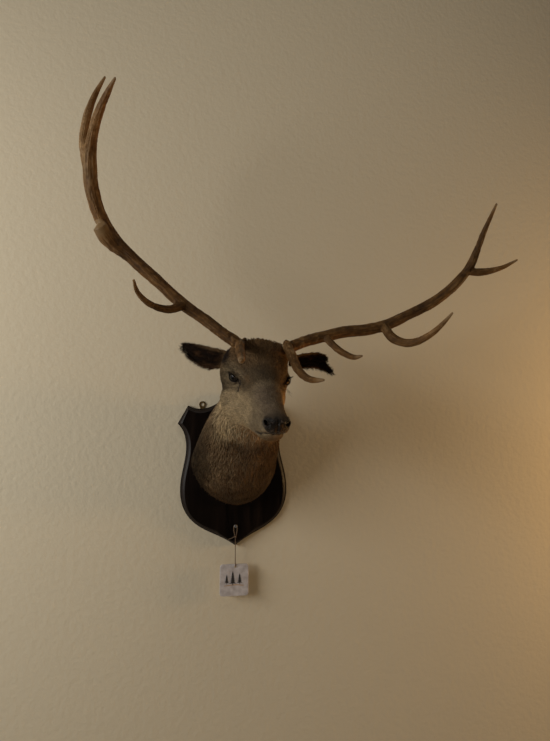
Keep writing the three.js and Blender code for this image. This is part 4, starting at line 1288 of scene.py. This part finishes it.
# ---------------------------------------------------------------- antlers
# Middle lines are rows of x, y, z and radius. For each of them in order, pale is how light its
# bone is, and worn whether its tip is.
ANTLERS = {
    "right": {
        "burr": (-23, -380, 360),
        "pale": (0.3, 0.0, 0.2, 0.6, 0.4),
        "worn": (1, 1, 0, 1, 1),
        "beam": [
            (-23, -379, 358, 17), (-70, -372, 389.5, 16), (-126, -362, 433, 16),
            (-189, -358, 477, 16.5), (-256, -362, 535, 17), (-326, -372, 594, 18),
            (-372, -384, 639, 18), (-406, -402, 693, 18.5), (-422, -426, 744, 19),
            (-427, -456, 796, 18), (-420, -492, 849, 14.5), (-402, -528, 896, 11.5),
            (-379, -560, 933, 8), (-357, -590, 958, 3),
        ],
        "brow_tine": [
            (-31, -392, 366, 12.5), (-41, -450, 349, 12), (-48, -520, 322, 11),
            (-54, -590, 298, 9.5), (-59, -630, 286, 6.5),
        ],
        "bez_tine": [
            (-186, -362, 471, 13), (-218, -392, 452, 11.5), (-251, -418, 449, 10),
            (-280, -446, 458, 8.5), (-301, -468, 477, 6.5), (-308, -496, 498, 3),
        ],
        "trez_stub": [
            (-366, -382, 614, 16), (-390, -393, 638, 20), (-404, -406, 660, 19),
        ],
        "crown_tine": [
            (-424, -440, 765, 14), (-438, -450, 815, 12.5), (-443, -468, 868, 11),
            (-431, -488, 925, 9.5), (-412, -505, 967, 7), (-389, -524, 1001, 3),
        ],
    },
    "left": {
        "burr": (95, -380, 357),
        "pale": (0.15, 0.5, 0.4, 0.7, 0.5),
        "worn": (1, 1, 1, 1, 1),
        "beam": [
            (95, -379, 355, 17), (144, -370, 379, 16), (210, -360, 399, 16),
            (271, -354, 415, 17), (332, -352, 423, 17), (392, -354, 438, 16.5),
            (458, -362, 469, 15.5), (526, -376, 504, 15), (586, -396, 551, 14.5),
            (626, -420, 604, 13), (638, -446, 647, 10), (642, -474, 685, 8),
            (646, -504, 717, 6.5), (649, -536, 749, 3),
        ],
        "brow_tine": [
            (96, -392, 361, 13), (97, -440, 330, 13.5), (103, -490, 287, 11.5),
            (114, -540, 260, 9.5), (126, -580, 251, 7.5), (138, -610, 249, 3),
        ],
        "bez_tine": [
            (208, -362, 398, 11), (229, -402, 361, 10), (246, -440, 336.5, 9),
            (260, -472, 325, 7.5), (270, -500, 325, 3),
        ],
        "trez_tine": [
            (386, -356, 436, 14), (397, -396, 394, 13.5), (415, -436, 374, 12),
            (434, -478, 372, 11), (453, -514, 384, 9), (472, -548, 407, 6.5),
            (485, -578, 430, 3),
        ],
        "crown_tine": [
            (616, -415, 593, 10), (658, -424, 590, 11.5), (690, -434, 594, 9),
            (720, -446, 603, 6.5), (752, -464, 620, 3),
        ],
    },
}
ANTLER_NODES = ["burr", "beam_lower", "beam_middle", "beam_upper", "beam_tip"]
BONE = [
    (0.1, (0.030, 0.013, 0.004)), (0.45, (0.112, 0.054, 0.016)), (0.85, (0.280, 0.174, 0.078)),
]
WORN_BONE = (0.200, 0.135, 0.070)
ANTLER_VOXEL = 2.3
# Keys of an antler's table that aren't middle lines.
NOT_LINES = ("burr", "pale", "worn")
BURR = {"rise": 7, "knobs": 13, "reach": 1.12, "radius": 5.2}


def followed(rows):
    """A middle line: points, directions, a side that doesn't twist, radii, and length so far."""
    rows = np.array(rows, float)
    points, shares = curve_points(rows[:, :3], 10)
    tangents = unit(np.gradient(points, axis=0))
    radii = np.interp(shares, np.arange(len(rows)), rows[:, 3])
    sides = []
    side = np.array([0, -1, 0.3])
    for tangent in tangents:
        side = unit(side - tangent * (side @ tangent))
        sides.append(side)
    run = np.concatenate([[0], np.cumsum(np.linalg.norm(np.diff(points, axis=0), axis=1))])
    return points, tangents, np.array(sides), radii, run


def swept(line, sides=28):
    """A tube round a middle line, closed at both ends by low points."""
    points, tangents, first, radii, _ = line
    second = np.cross(tangents, first)
    turn = circle(sides)[None, :, None]
    around = np.cos(turn) * first[:, None] + np.sin(turn) * second[:, None]
    rings = points[:, None] + around * radii[:, None, None]
    ends = [points[0] - tangents[0] * radii[0] * 0.3, points[-1] + tangents[-1] * radii[-1] * 0.5]
    body = np.vstack([rings.reshape(-1, 3), ends])
    k = np.arange(sides)
    m = (k + 1) % sides
    low = np.stack([m, k, np.full(sides, len(body) - 2)], axis=1)
    top = (len(points) - 1) * sides
    high = np.stack([top + k, top + m, np.full(sides, len(body) - 1)], axis=1)
    return body, ring_faces(len(points), sides), np.vstack([low, high])


def burr_solid(antler):
    """The coronet: a knobbly collar round the foot of the beam."""
    beam = np.array(antler["beam"], float)
    direction = unit(beam[1, :3] - beam[0, :3])
    base = np.array(antler["burr"], float) + direction * BURR["rise"]
    first = unit(np.cross(direction, (0, 0, 1)))
    second = np.cross(direction, first)
    turn = circle(90)
    rough = noise(np.stack([turn * 4, 0 * turn, 0 * turn], axis=1), 3)
    knobs = 1 + 0.05 * np.cos(turn * BURR["knobs"]) + 0.05 * rough
    radius = (beam[0, 3] * BURR["reach"] * knobs)[:, None]
    around = first * np.cos(turn)[:, None] + second * np.sin(turn)[:, None]
    centres = base + around * radius
    sections = np.full(len(turn), BURR["radius"]), unit(centres - base)
    return ring_tube(centres, *sections, np.tile(direction, (len(turn), 1)), 12)


# The broken tine's root along the beam and its spur, as rows of a middle line.
STUB = {
    "right": [
        [(-330, -374, 590, 12), (-366, -384, 613, 14), (-398, -398, 640, 13)],
        [(-384, -394, 655, 12), (-396, -404, 674, 9), (-397, -407, 687, 4)],
    ],
    "left": [],
}


def fork_web(beam, tine):
    """A short taper that fills the fork between the beam and a tine."""
    start = np.argmin(np.linalg.norm(beam[0] - tine[0][0], axis=1))
    rows = []
    for run in np.arange(0, 90, 6):
        on_beam = min(np.searchsorted(beam[4], beam[4][start] + run), len(beam[0]) - 1)
        on_tine = min(np.searchsorted(tine[4], run), len(tine[0]) - 1)
        apart = np.linalg.norm(beam[0][on_beam] - tine[0][on_tine])
        gap = apart - beam[3][on_beam] - tine[3][on_tine]
        wide = min(0.42 * tine[3][on_tine] + 0.2 * apart - 0.5 * gap, 0.9 * tine[3][on_tine])
        rows.append([*(beam[0][on_beam] + tine[0][on_tine]) / 2, max(2.5, wide)])
        if gap > 5 or on_tine == len(tine[0]) - 1:
            break
    return followed(rows)


def beside_lines(points, lines):
    """For each point its nearest line, the radius there, its place by it and its way to the tip."""
    best = np.full(len(points), 1e9)
    place = np.zeros((len(points), 3))
    tip = np.zeros(len(points))
    radius = np.full(len(points), 15.0)
    branch = np.zeros(len(points), int)
    for number, (middle, tangents, first, radii, run) in enumerate(lines):
        second = np.cross(tangents, first)
        for i in range(len(middle)):
            off = points - middle[i]
            far = np.linalg.norm(off, axis=1) / radii[i]
            closer = far < best
            best[closer] = far[closer]
            on = off[closer] @ tangents[i]
            place[closer, 0] = off[closer] @ first[i]
            place[closer, 1] = off[closer] @ second[i]
            place[closer, 2] = run[i] + on + 300 * number
            tip[closer] = run[-1] - run[i] - on
            radius[closer] = radii[i]
            branch[closer] = number
    return branch, radius, place, tip


def antler_mesh(name, antler, others):
    lines = [followed(rows) for key, rows in antler.items() if key not in NOT_LINES]
    webs = [fork_web(lines[0], line) for line in lines[2:] if len(line[0]) > 25]
    work = bmesh.new()
    for line in lines + webs + [followed(rows) for rows in others]:
        add_part(work, *swept(line))
    add_part(work, *burr_solid(antler))
    mesh = remeshed(mesh_from(work, name), ANTLER_VOXEL)
    points = smoothed(coords(mesh), edges_of(mesh), 8, 0.5, 1.03)
    set_coords(mesh, points)
    # Grooves run along the middle lines.
    branch, radius, place, tip = beside_lines(points, lines)
    spread = place[:, :2] / radius[:, None]
    grain = np.stack([spread[:, 0] * 4.8, spread[:, 1] * 4.8, place[:, 2] / 30], axis=1)
    grooves = np.clip(1 - np.abs(noise(grain, 11)) * 1.6, 0, 1)
    fine = noise(grain * (2.3, 2.3, 1.4), 12)
    foot = np.linalg.norm(points - np.array(antler["burr"]), axis=1)
    pearls = np.clip(noise(points / 5.5, 13) - 0.1, 0, 1) * ramp(foot, 190, 40)
    wear = ramp(tip, 46, 4) * np.array(antler["worn"])[branch]
    lumps = layered(points / 38, 14, 2)
    lift = -1.3 * grooves * (1 - 0.85 * wear) + 0.35 * fine * (1 - wear)
    lift = (lift + 2.2 * pearls + 0.7 * lumps) * ramp(radius, 2.5, 9)
    set_coords(mesh, points + normals(mesh) * lift[:, None])
    high = 0.8 * ramp(points[:, 2], 640, 820) * ramp(tip, 50, 130)
    pale = np.array(antler["pale"])[branch] + high
    stain = 0.40 + 0.17 * lift + 0.26 * pale + 0.16 * layered(points / 9, 15, 2)
    set_value(mesh, "Ridge", np.clip(stain, 0, 1))
    set_value(mesh, "Wear", wear)
    return mesh


def antler_material():
    """Stained brown bone: dark in its grooves, pale on ridges, ivory at worn tips."""
    look = Look("antler", 0.5, Specular_IOR_Level=0.15)
    wear = look.attribute("Wear")
    body = look.graded(look.attribute("Ridge"), BONE)
    shade = look.ranged(look.noise(14.0, 5.0), 0.3, 0.7, 0.62, 1.35)
    tip = look.node("Mix", data_type="RGBA")
    look.feed(tip, "Factor", look.ranged(wear, 0.35, 1.0, 0.0, 0.6))
    look.feed(tip, "A", look.multiplied(body, shade))
    tip.inputs["B"].default_value = (*WORN_BONE, 1)
    look.colour(tip.outputs["Result"])
    look.roughness(look.ranged(wear, 0, 1, 0.55, 0.34))
    look.bump(look.noise(900.0, 4.0), 0.35, 0.0006)
    return look.made


def make_antlers():
    look = antler_material()
    for word, antler in ANTLERS.items():
        parts = ANTLER_NODES + [key for key in antler if key not in (*NOT_LINES, "beam")]
        name = f"antler_bone_{word}"
        mesh = antler_mesh(name, antler, STUB[word])
        add_piece(name, mesh, look, "antler", [f"antler_{word}_{part}" for part in parts])


# ---------------------------------------------------------------- board
# In mm and degrees.
BOARD = {"centre": -6.0, "lean": 1.5}
# The moulded edge from the back round to the face: how far in from the outline, and the depth.
MOULDING = [
    (1.2, 0.0), (0.3, 0.5), (0.0, 1.6), (0.0, 11.4), (0.4, 12.6), (1.4, 13.0), (3.6, 13.0),
    (4.2, 13.3), (4.4, 14.6), (4.6, 16.0), (6.0, 18.4), (8.0, 20.6), (10.4, 22.3), (12.6, 23.2),
    (13.2, 23.3), (13.6, 23.6), (14.2, 24.0),
]
# The rows of the edge with their own material: a little paler than the face, a painted sheen, and
# rougher.
MOULDING_SLOPE = (3, 15)
WOOD = [
    (0.3, (0.0020, 0.0010, 0.0006)), (0.55, (0.0045, 0.0020, 0.001)),
    (0.75, (0.0100, 0.0046, 0.0022)),
]


def bezier(points, steps):
    """Points along a line or a curve with one or two handles, without its end."""
    rows = np.array(points, float)
    t = np.linspace(0, 1, steps, endpoint=False)[:, None]
    last = len(rows) - 1
    return sum(math.comb(last, n) * rows[n] * t**n * (1 - t) ** (last - n) for n in range(last + 1))


def board_outline(inset):
    """The shield's outline, as the solid's, the same number of points for every inset."""
    i = inset
    half = [
        [(0, -229 + i), (22, -212), (60, -193 + i)],
        [(60, -193 + i), (110, -170 + i), (174 - i, -140), (174 - i, -50)],
        [(174 - i, -50), (174 - i, 5), (154 - i, 40), (153 - i, 92)],
        [(153 - i, 92), (154 - i, 140), (180 - i, 166)],
        [(180 - i, 166), (146, 224 - i)],
        [(146, 224 - i), (104, 198 - i), (50, 230 - i)],
        [(50, 230 - i), (20, 248 - i), (0, 256 - i)],
    ]
    mirrored = [[(-x, z) for x, z in reversed(part)] for part in reversed(half)]
    return np.vstack([bezier(part, 14) for part in half + mirrored])


def on_board(x, depth, z):
    """A place on the leaning board, from its own x and z and the depth off the wall."""
    lean = math.radians(BOARD["lean"])
    across = BOARD["centre"] + x * math.cos(lean) - z * math.sin(lean)
    return np.stack([across, -depth, x * math.sin(lean) + z * math.cos(lean)], axis=-1)


def make_board():
    look = Look("stained_wood", 0.36, Specular_IOR_Level=0.2)
    grain = look.noise(1.0, 6.0, (60, 60, 6), Distortion=0.6)
    look.colour(look.graded(grain, WOOD))
    look.roughness(look.ranged(grain, 0.3, 0.7, 0.26, 0.42))
    look.bump(look.noise(1.0, 3.0, (700, 700, 40)), 0.18, 0.0006)
    rings = []
    for inset, depth in MOULDING:
        outline = board_outline(inset)
        rings.append(on_board(outline[:, 0], np.full(len(outline), depth), outline[:, 1]))
    count = len(rings[0])
    work = bmesh.new()
    add_part(work, np.vstack(rings), ring_faces(len(rings), count))
    work.verts.ensure_lookup_table()
    for start in (0, (len(rings) - 1) * count):
        work.faces.new([work.verts[start + n] for n in range(count)])
    cut_large(work)
    bmesh.ops.recalc_face_normals(work, faces=work.faces)
    smooth_edges(work, 0.999)
    shield = add_piece("shield", mesh_from(work, "shield"), look.made, "board", ["board"])
    # The moulded edge is a little paler than the face, a painted sheen, and rougher so the lamps'
    # reflections spread wider on it.
    edge = Look("moulding_sheen", 0.45, (0.012, 0.007, 0.005), Specular_IOR_Level=0.22)
    shield.data.materials.append(edge.made)
    first, last = MOULDING_SLOPE
    for face in shield.data.polygons[first * count : last * count]:
        face.material_index = 1


# ---------------------------------------------------------------- small things
def make_fittings():
    brass = Look("brass", 0.32, (0.45, 0.30, 0.11), Metallic=1.0)
    tarnish = brass.noise(160.0, 4.0)
    brass.colour(brass.graded(tarnish, [(0.35, (0.16, 0.09, 0.035)), (0.62, (0.52, 0.36, 0.14))]))
    brass.roughness(brass.ranged(tarnish, 0.3, 0.7, 0.5, 0.25))
    for word in ("right", "left"):
        hanger = dressed(f"hanger_{word}", brass)
        rounded = hanger.modifiers.new("bevel", "BEVEL")
        rounded.width = 0.5 * MM
        rounded.segments = 2
        rounded.limit_method = "ANGLE"
    steel = Look("steel", 0.42, (0.24, 0.24, 0.25), Metallic=1.0)
    steel.roughness(steel.ranged(steel.noise(500.0, 4.0), 0.3, 0.7, 0.3, 0.6))
    soft = dressed("tag_nail", steel).modifiers.new("round", "SUBSURF")
    soft.levels = soft.render_levels = 1


def dressed(name, look):
    """Gives a CAD node a finish."""
    node = nodes[name]
    node.data.materials.clear()
    node.data.materials.append(look.made)
    return node


# ---------------------------------------------------------------- tag
PLATE = {
    "centre": (-4.0, -30.5, -332.0), "width": 92.0, "height": 98.0, "corner": 10.0, "thick": 5.0,
}
GLAZE = [(0.3, (0.36, 0.32, 0.31)), (0.6, (0.52, 0.48, 0.475)), (0.8, (0.62, 0.58, 0.58))]
# The plate's hole, and the knot above it.
HOLE = {"x": -1.0, "z": -292.0, "radius": 3.6}
KNOT = {"at": (-1.0, -27.3, -200.0), "radius": 3.4}
# The knot's loose tail, as rows of x, y, z and radius.
TAIL = [
    (-3.0, -27.6, -199.6, 1.2), (-8, -28.2, -201, 1.2), (-14, -27.6, -204.2, 1.15),
    (-20, -27.0, -206, 1.2), (-25, -26.6, -208.6, 0.9),
]
# Small fir trees on the plate: x and z of the foot, and the height.
FIRS = [(-24, -12, 30), (-5, -16, 44), (17, -13, 34)]


def plate_outline(inset, steps=8):
    """The plate's rounded outline about its middle, in x and z."""
    corner = PLATE["corner"]
    reach = max(corner - inset, 0.2)
    out = []
    for cx, cz, start in ((1, 1, 0), (-1, 1, 90), (-1, -1, 180), (1, -1, 270)):
        turn = np.radians(start + np.linspace(0, 90, steps))
        x = cx * (PLATE["width"] / 2 - corner) + reach * np.cos(turn)
        z = cz * (PLATE["height"] / 2 - corner) + reach * np.sin(turn)
        out.append(np.stack([x, z], axis=1))
    return np.vstack(out)


def upright(outline, y):
    """An outline of x and z as points at one depth."""
    return np.stack([outline[:, 0], np.full(len(outline), y), outline[:, 1]], axis=1)


def band(work, sections):
    """Adds closed rings of points with faces between them, and gives the rings' corners."""
    made = [[work.verts.new(p * MM) for p in ring] for ring in sections]
    for a, b in zip(made, made[1:]):
        for i in range(len(a)):
            j = (i + 1) % len(a)
            work.faces.new([a[i], a[j], b[j], b[i]])
    return made


def flat_shape(name, outline, y_front, y_back):
    """A thin solid with a flat outline in x and z."""
    work = bmesh.new()
    lower = [work.verts.new(p * MM) for p in upright(outline, y_front)]
    upper = [work.verts.new(p * MM) for p in upright(outline, y_back)]
    work.faces.new(lower)
    work.faces.new(upper[::-1])
    for i in range(len(outline)):
        j = (i + 1) % len(outline)
        work.faces.new([lower[i], upper[i], upper[j], lower[j]])
    bmesh.ops.recalc_face_normals(work, faces=work.faces)
    cut_large(work)
    return mesh_from(work, name)


def fir_outline(x, z, tall):
    """A stylised fir: a stem and five tiers of branches."""
    right = [(0.028, 0.0), (0.028, 0.14)]
    for tier in range(5):
        low, high = 0.14 + 0.155 * tier, 0.30 + 0.155 * tier
        wide = 0.27 * (1 - 0.17 * tier)
        right += [(wide, low - 0.02), (wide * 0.62, low + 0.045), (wide * 0.30, high)]
    right[-1] = (0.0, 1.0)
    left = [(-a, b) for a, b in right[-2::-1]]
    return np.array([(x + a * tall, z + b * tall) for a, b in right + left])


def make_plate():
    """The tag's plate, with soft edges and a round hole."""
    cx, cy, cz = PLATE["centre"]
    front, back = cy - PLATE["thick"] / 2, cy + PLATE["thick"] / 2
    edge = (
        (1.6, back), (0.5, back - 0.4), (0, back - 1.4),
        (0, front + 1.6), (0.5, front + 0.5), (1.8, front),
    )
    turn = circle(28)
    bore = []
    for wider, y in ((0.7, front), (0, front + 0.8), (0, back - 0.8), (0.7, back)):
        radius = HOLE["radius"] + wider
        x, z = HOLE["x"] + radius * np.cos(turn), HOLE["z"] + radius * np.sin(turn)
        bore.append(upright(np.stack([x, z], axis=1), y))
    work = bmesh.new()
    outer = band(work, [upright(plate_outline(inset) + (cx, cz), y) for inset, y in edge])
    inner = band(work, bore)
    for rims in ((outer[0], inner[-1]), (outer[-1], inner[0])):
        edges = [work.edges.get((r[i], r[(i + 1) % len(r)])) for r in rims for i in range(len(r))]
        bmesh.ops.triangle_fill(work, use_beauty=True, use_dissolve=False, edges=edges)
    bmesh.ops.recalc_face_normals(work, faces=work.faces)
    smooth_edges(work, 0.99)
    return mesh_from(work, "tag_board")


def make_tag():
    cx, cy, cz = PLATE["centre"]
    front = cy - PLATE["thick"] / 2
    coat = {"Coat_Weight": 0.3, "Coat_Roughness": 0.25}
    glaze = Look("tag_glaze", 0.42, (0.42, 0.37, 0.36), **coat)
    glaze.colour(glaze.graded(glaze.noise(60.0, 5.0), GLAZE))
    glaze.bump(glaze.noise(900.0, 3.0), 0.15, 0.0004)
    add_piece("tag_board", make_plate(), glaze.made, "tag_plate", ["tag_plate"])
    ink = Look("tag_dark", 0.55, (0.022, 0.018, 0.016)).made
    tan = Look("tag_tan", 0.55, (0.42, 0.27, 0.16)).made
    for number, (x, z, tall) in enumerate(FIRS, 1):
        name = f"tag_fir_{number}"
        outline = fir_outline(cx + x, cz + z, tall)
        add_piece(name, flat_shape(name, outline, front - 0.45, front + 0.2), ink, "tag_plate")
    hill = np.linspace(-32, 30, 25)
    top = -15 + 2.2 * np.cos(hill / 15)
    upper = np.stack([cx + hill, cz + top], axis=1)
    lower = np.stack([cx + hill, cz + top - 1.6 - 1.4 * np.cos(hill / 24)], axis=1)
    mesh = flat_shape("tag_hill", np.vstack([upper, lower[::-1]]), front - 0.4, front + 0.2)
    add_piece("tag_hill", mesh, tan, "tag_plate")


def make_twine():
    """The look of the twine, and its knot: three turns round the strands and a loose tail."""
    look = Look("twine", 0.95, (0.16, 0.11, 0.07))
    lean = (0, math.radians(38), 0)
    twist = look.textured("TexWave", "Fac", (1, 1, 1), lean, Scale=260.0, Distortion=1.5)
    look.colour(look.graded(twist, [(0.2, (0.07, 0.045, 0.028)), (0.8, (0.25, 0.18, 0.12))]))
    look.bump(twist, 0.8, 0.0008)
    for cord in (loop, drop):
        cord.data.materials.append(look.made)
    at = np.array(KNOT["at"])
    reach = KNOT["radius"] - 1.25
    turn = circle(40)
    upward = np.tile((0, 0, 1.0), (40, 1))
    points, faces = [], []
    for number, tilt in enumerate((-0.35, 0.1, 0.5)):
        height = (number - 1) * 1.35 + tilt * np.cos(turn + number)
        round_strands = [reach * np.cos(turn), 0.62 * reach * np.sin(turn), height]
        centres = at + np.stack(round_strands, axis=1)
        out = unit((centres - at) * (1, 1, 0.0))
        part, quads = ring_tube(centres, np.full(40, 1.2), out, upward, 10)
        points.append(part)
        faces.append(quads + number * len(part))
    mesh = new_mesh("tag_twine_knot", np.vstack(points), np.vstack(faces))
    knot = add_piece("tag_twine_knot", mesh, look.made, "twine", ["tag_knot"])
    mesh = new_mesh("tag_twine_tail", *swept(followed(TAIL), 10))
    return knot, add_piece("tag_twine_tail", mesh, look.made, "twine")


# ---------------------------------------------------------------- stage and light
# In mm: the wall's half width, place, foot and top, and the floor's half width and height.
WALL = (3000, 1.5, -1500, 2600)
FLOOR = (4000, -1500)
# Name, place, aim, size in metres, power, colour, and the cone in degrees of a spot.
LIGHTS = [
    ("key", (-2.3, -1.5, 0.62), (0, -0.3, 0.2), 1.9, 46, (1.0, 0.96, 0.90)),
    ("top", (0.3, -1.8, 2.3), (0.1, -0.3, 0.4), 1.4, 7, (1.0, 0.93, 0.82)),
    ("side", (-1.9, -0.5, 0.1), (0, -0.1, 0.1), 1.2, 1.5, (0.75, 0.87, 1.0)),
    ("lamp", (2.3, -0.45, 0.05), (0.3, 0.0, 0.1), 0.5, 20, (1.0, 0.60, 0.24)),
    ("warm", (0.95, -0.36, -0.62), (0.07, -0.42, 0.2), 0.2, 26, (1.0, 0.33, 0.04), 28),
]
# The key light is a tilted window.
KEY = {"height": 0.8, "tilt": -35}
SKY = {"Color": (0.55, 0.50, 0.43, 1), "Strength": 0.05}


def stage_sheet(name, corners, look):
    mesh = new_mesh(name, corners, [(0, 1, 2, 3)])
    mesh.materials.append(look.made)
    thing = bpy.data.objects.new(name, mesh)
    scene.collection.objects.link(thing)


def make_stage():
    """A plain pale wall, seen only from its front, and a pale floor far below."""
    look = Look("wall", 0.9, (0.60, 0.527, 0.390))
    look.bump(look.noise(55.0, 6.0), 0.5, 0.004)
    both = look.node("MixShader")
    look.feed(both, 0, look.node("NewGeometry").outputs["Backfacing"])
    look.feed(both, 1, look.shader.outputs["BSDF"])
    look.feed(both, 2, look.node("BsdfTransparent").outputs["BSDF"])
    look.feed(look.tree.nodes["Material Output"], "Surface", both.outputs["Shader"])
    x, y, low, high = WALL
    stage_sheet("stage_wall", [(-x, y, low), (x, y, low), (x, y, high), (-x, y, high)], look)
    pale = Look("floor", 0.8, (0.6, 0.57, 0.5))
    x, z = FLOOR
    stage_sheet("stage_floor", [(-x, -x, z), (x, -x, z), (x, x, z), (-x, x, z)], pale)


def make_light(name, at, target, size, power, colour, cone=None):
    lamp = bpy.data.objects.new(name, bpy.data.lights.new(name, "SPOT" if cone else "AREA"))
    if cone:
        lamp.data.spot_size = math.radians(cone)
        lamp.data.spot_blend = 1
        lamp.data.shadow_soft_size = size
    else:
        lamp.data.shape = "DISK"
        lamp.data.size = size
    lamp.data.energy = power
    lamp.data.color = colour
    lamp.location = at
    lamp.rotation_euler = (Vector(target) - Vector(at)).to_track_quat("-Z", "Y").to_euler()
    scene.collection.objects.link(lamp)
    return lamp


def make_lights():
    key = [make_light(*row) for row in LIGHTS][0]
    key.data.shape = "RECTANGLE"
    key.data.size_y = KEY["height"]
    key.rotation_euler.rotate_axis("Z", math.radians(KEY["tilt"]))
    scene.world = bpy.data.worlds.new("sky")
    scene.world.use_nodes = True
    background = scene.world.node_tree.nodes["Background"]
    for name, value in SKY.items():
        background.inputs[name].default_value = value
    scene.view_settings.view_transform = "Standard"


make_eyes()
look = skin_material()
skin = add_piece("skin", cast_skin(), look, "coat_neck", FLESH)
unwrapped(skin)
skin_points = coords(skin.data)
set_colour(skin.data, "Coat", markings(skin_points) * 0.8)
set_value(skin.data, "Wet", nose_pad(in_head(skin_points)))
fur = fur_material()
grow_coat(skin, fur)
make_lashes(fur)
make_ears(fur)
make_antlers()
make_board()
make_fittings()
make_tag()
knot, tail = make_twine()
make_stage()
make_lights()
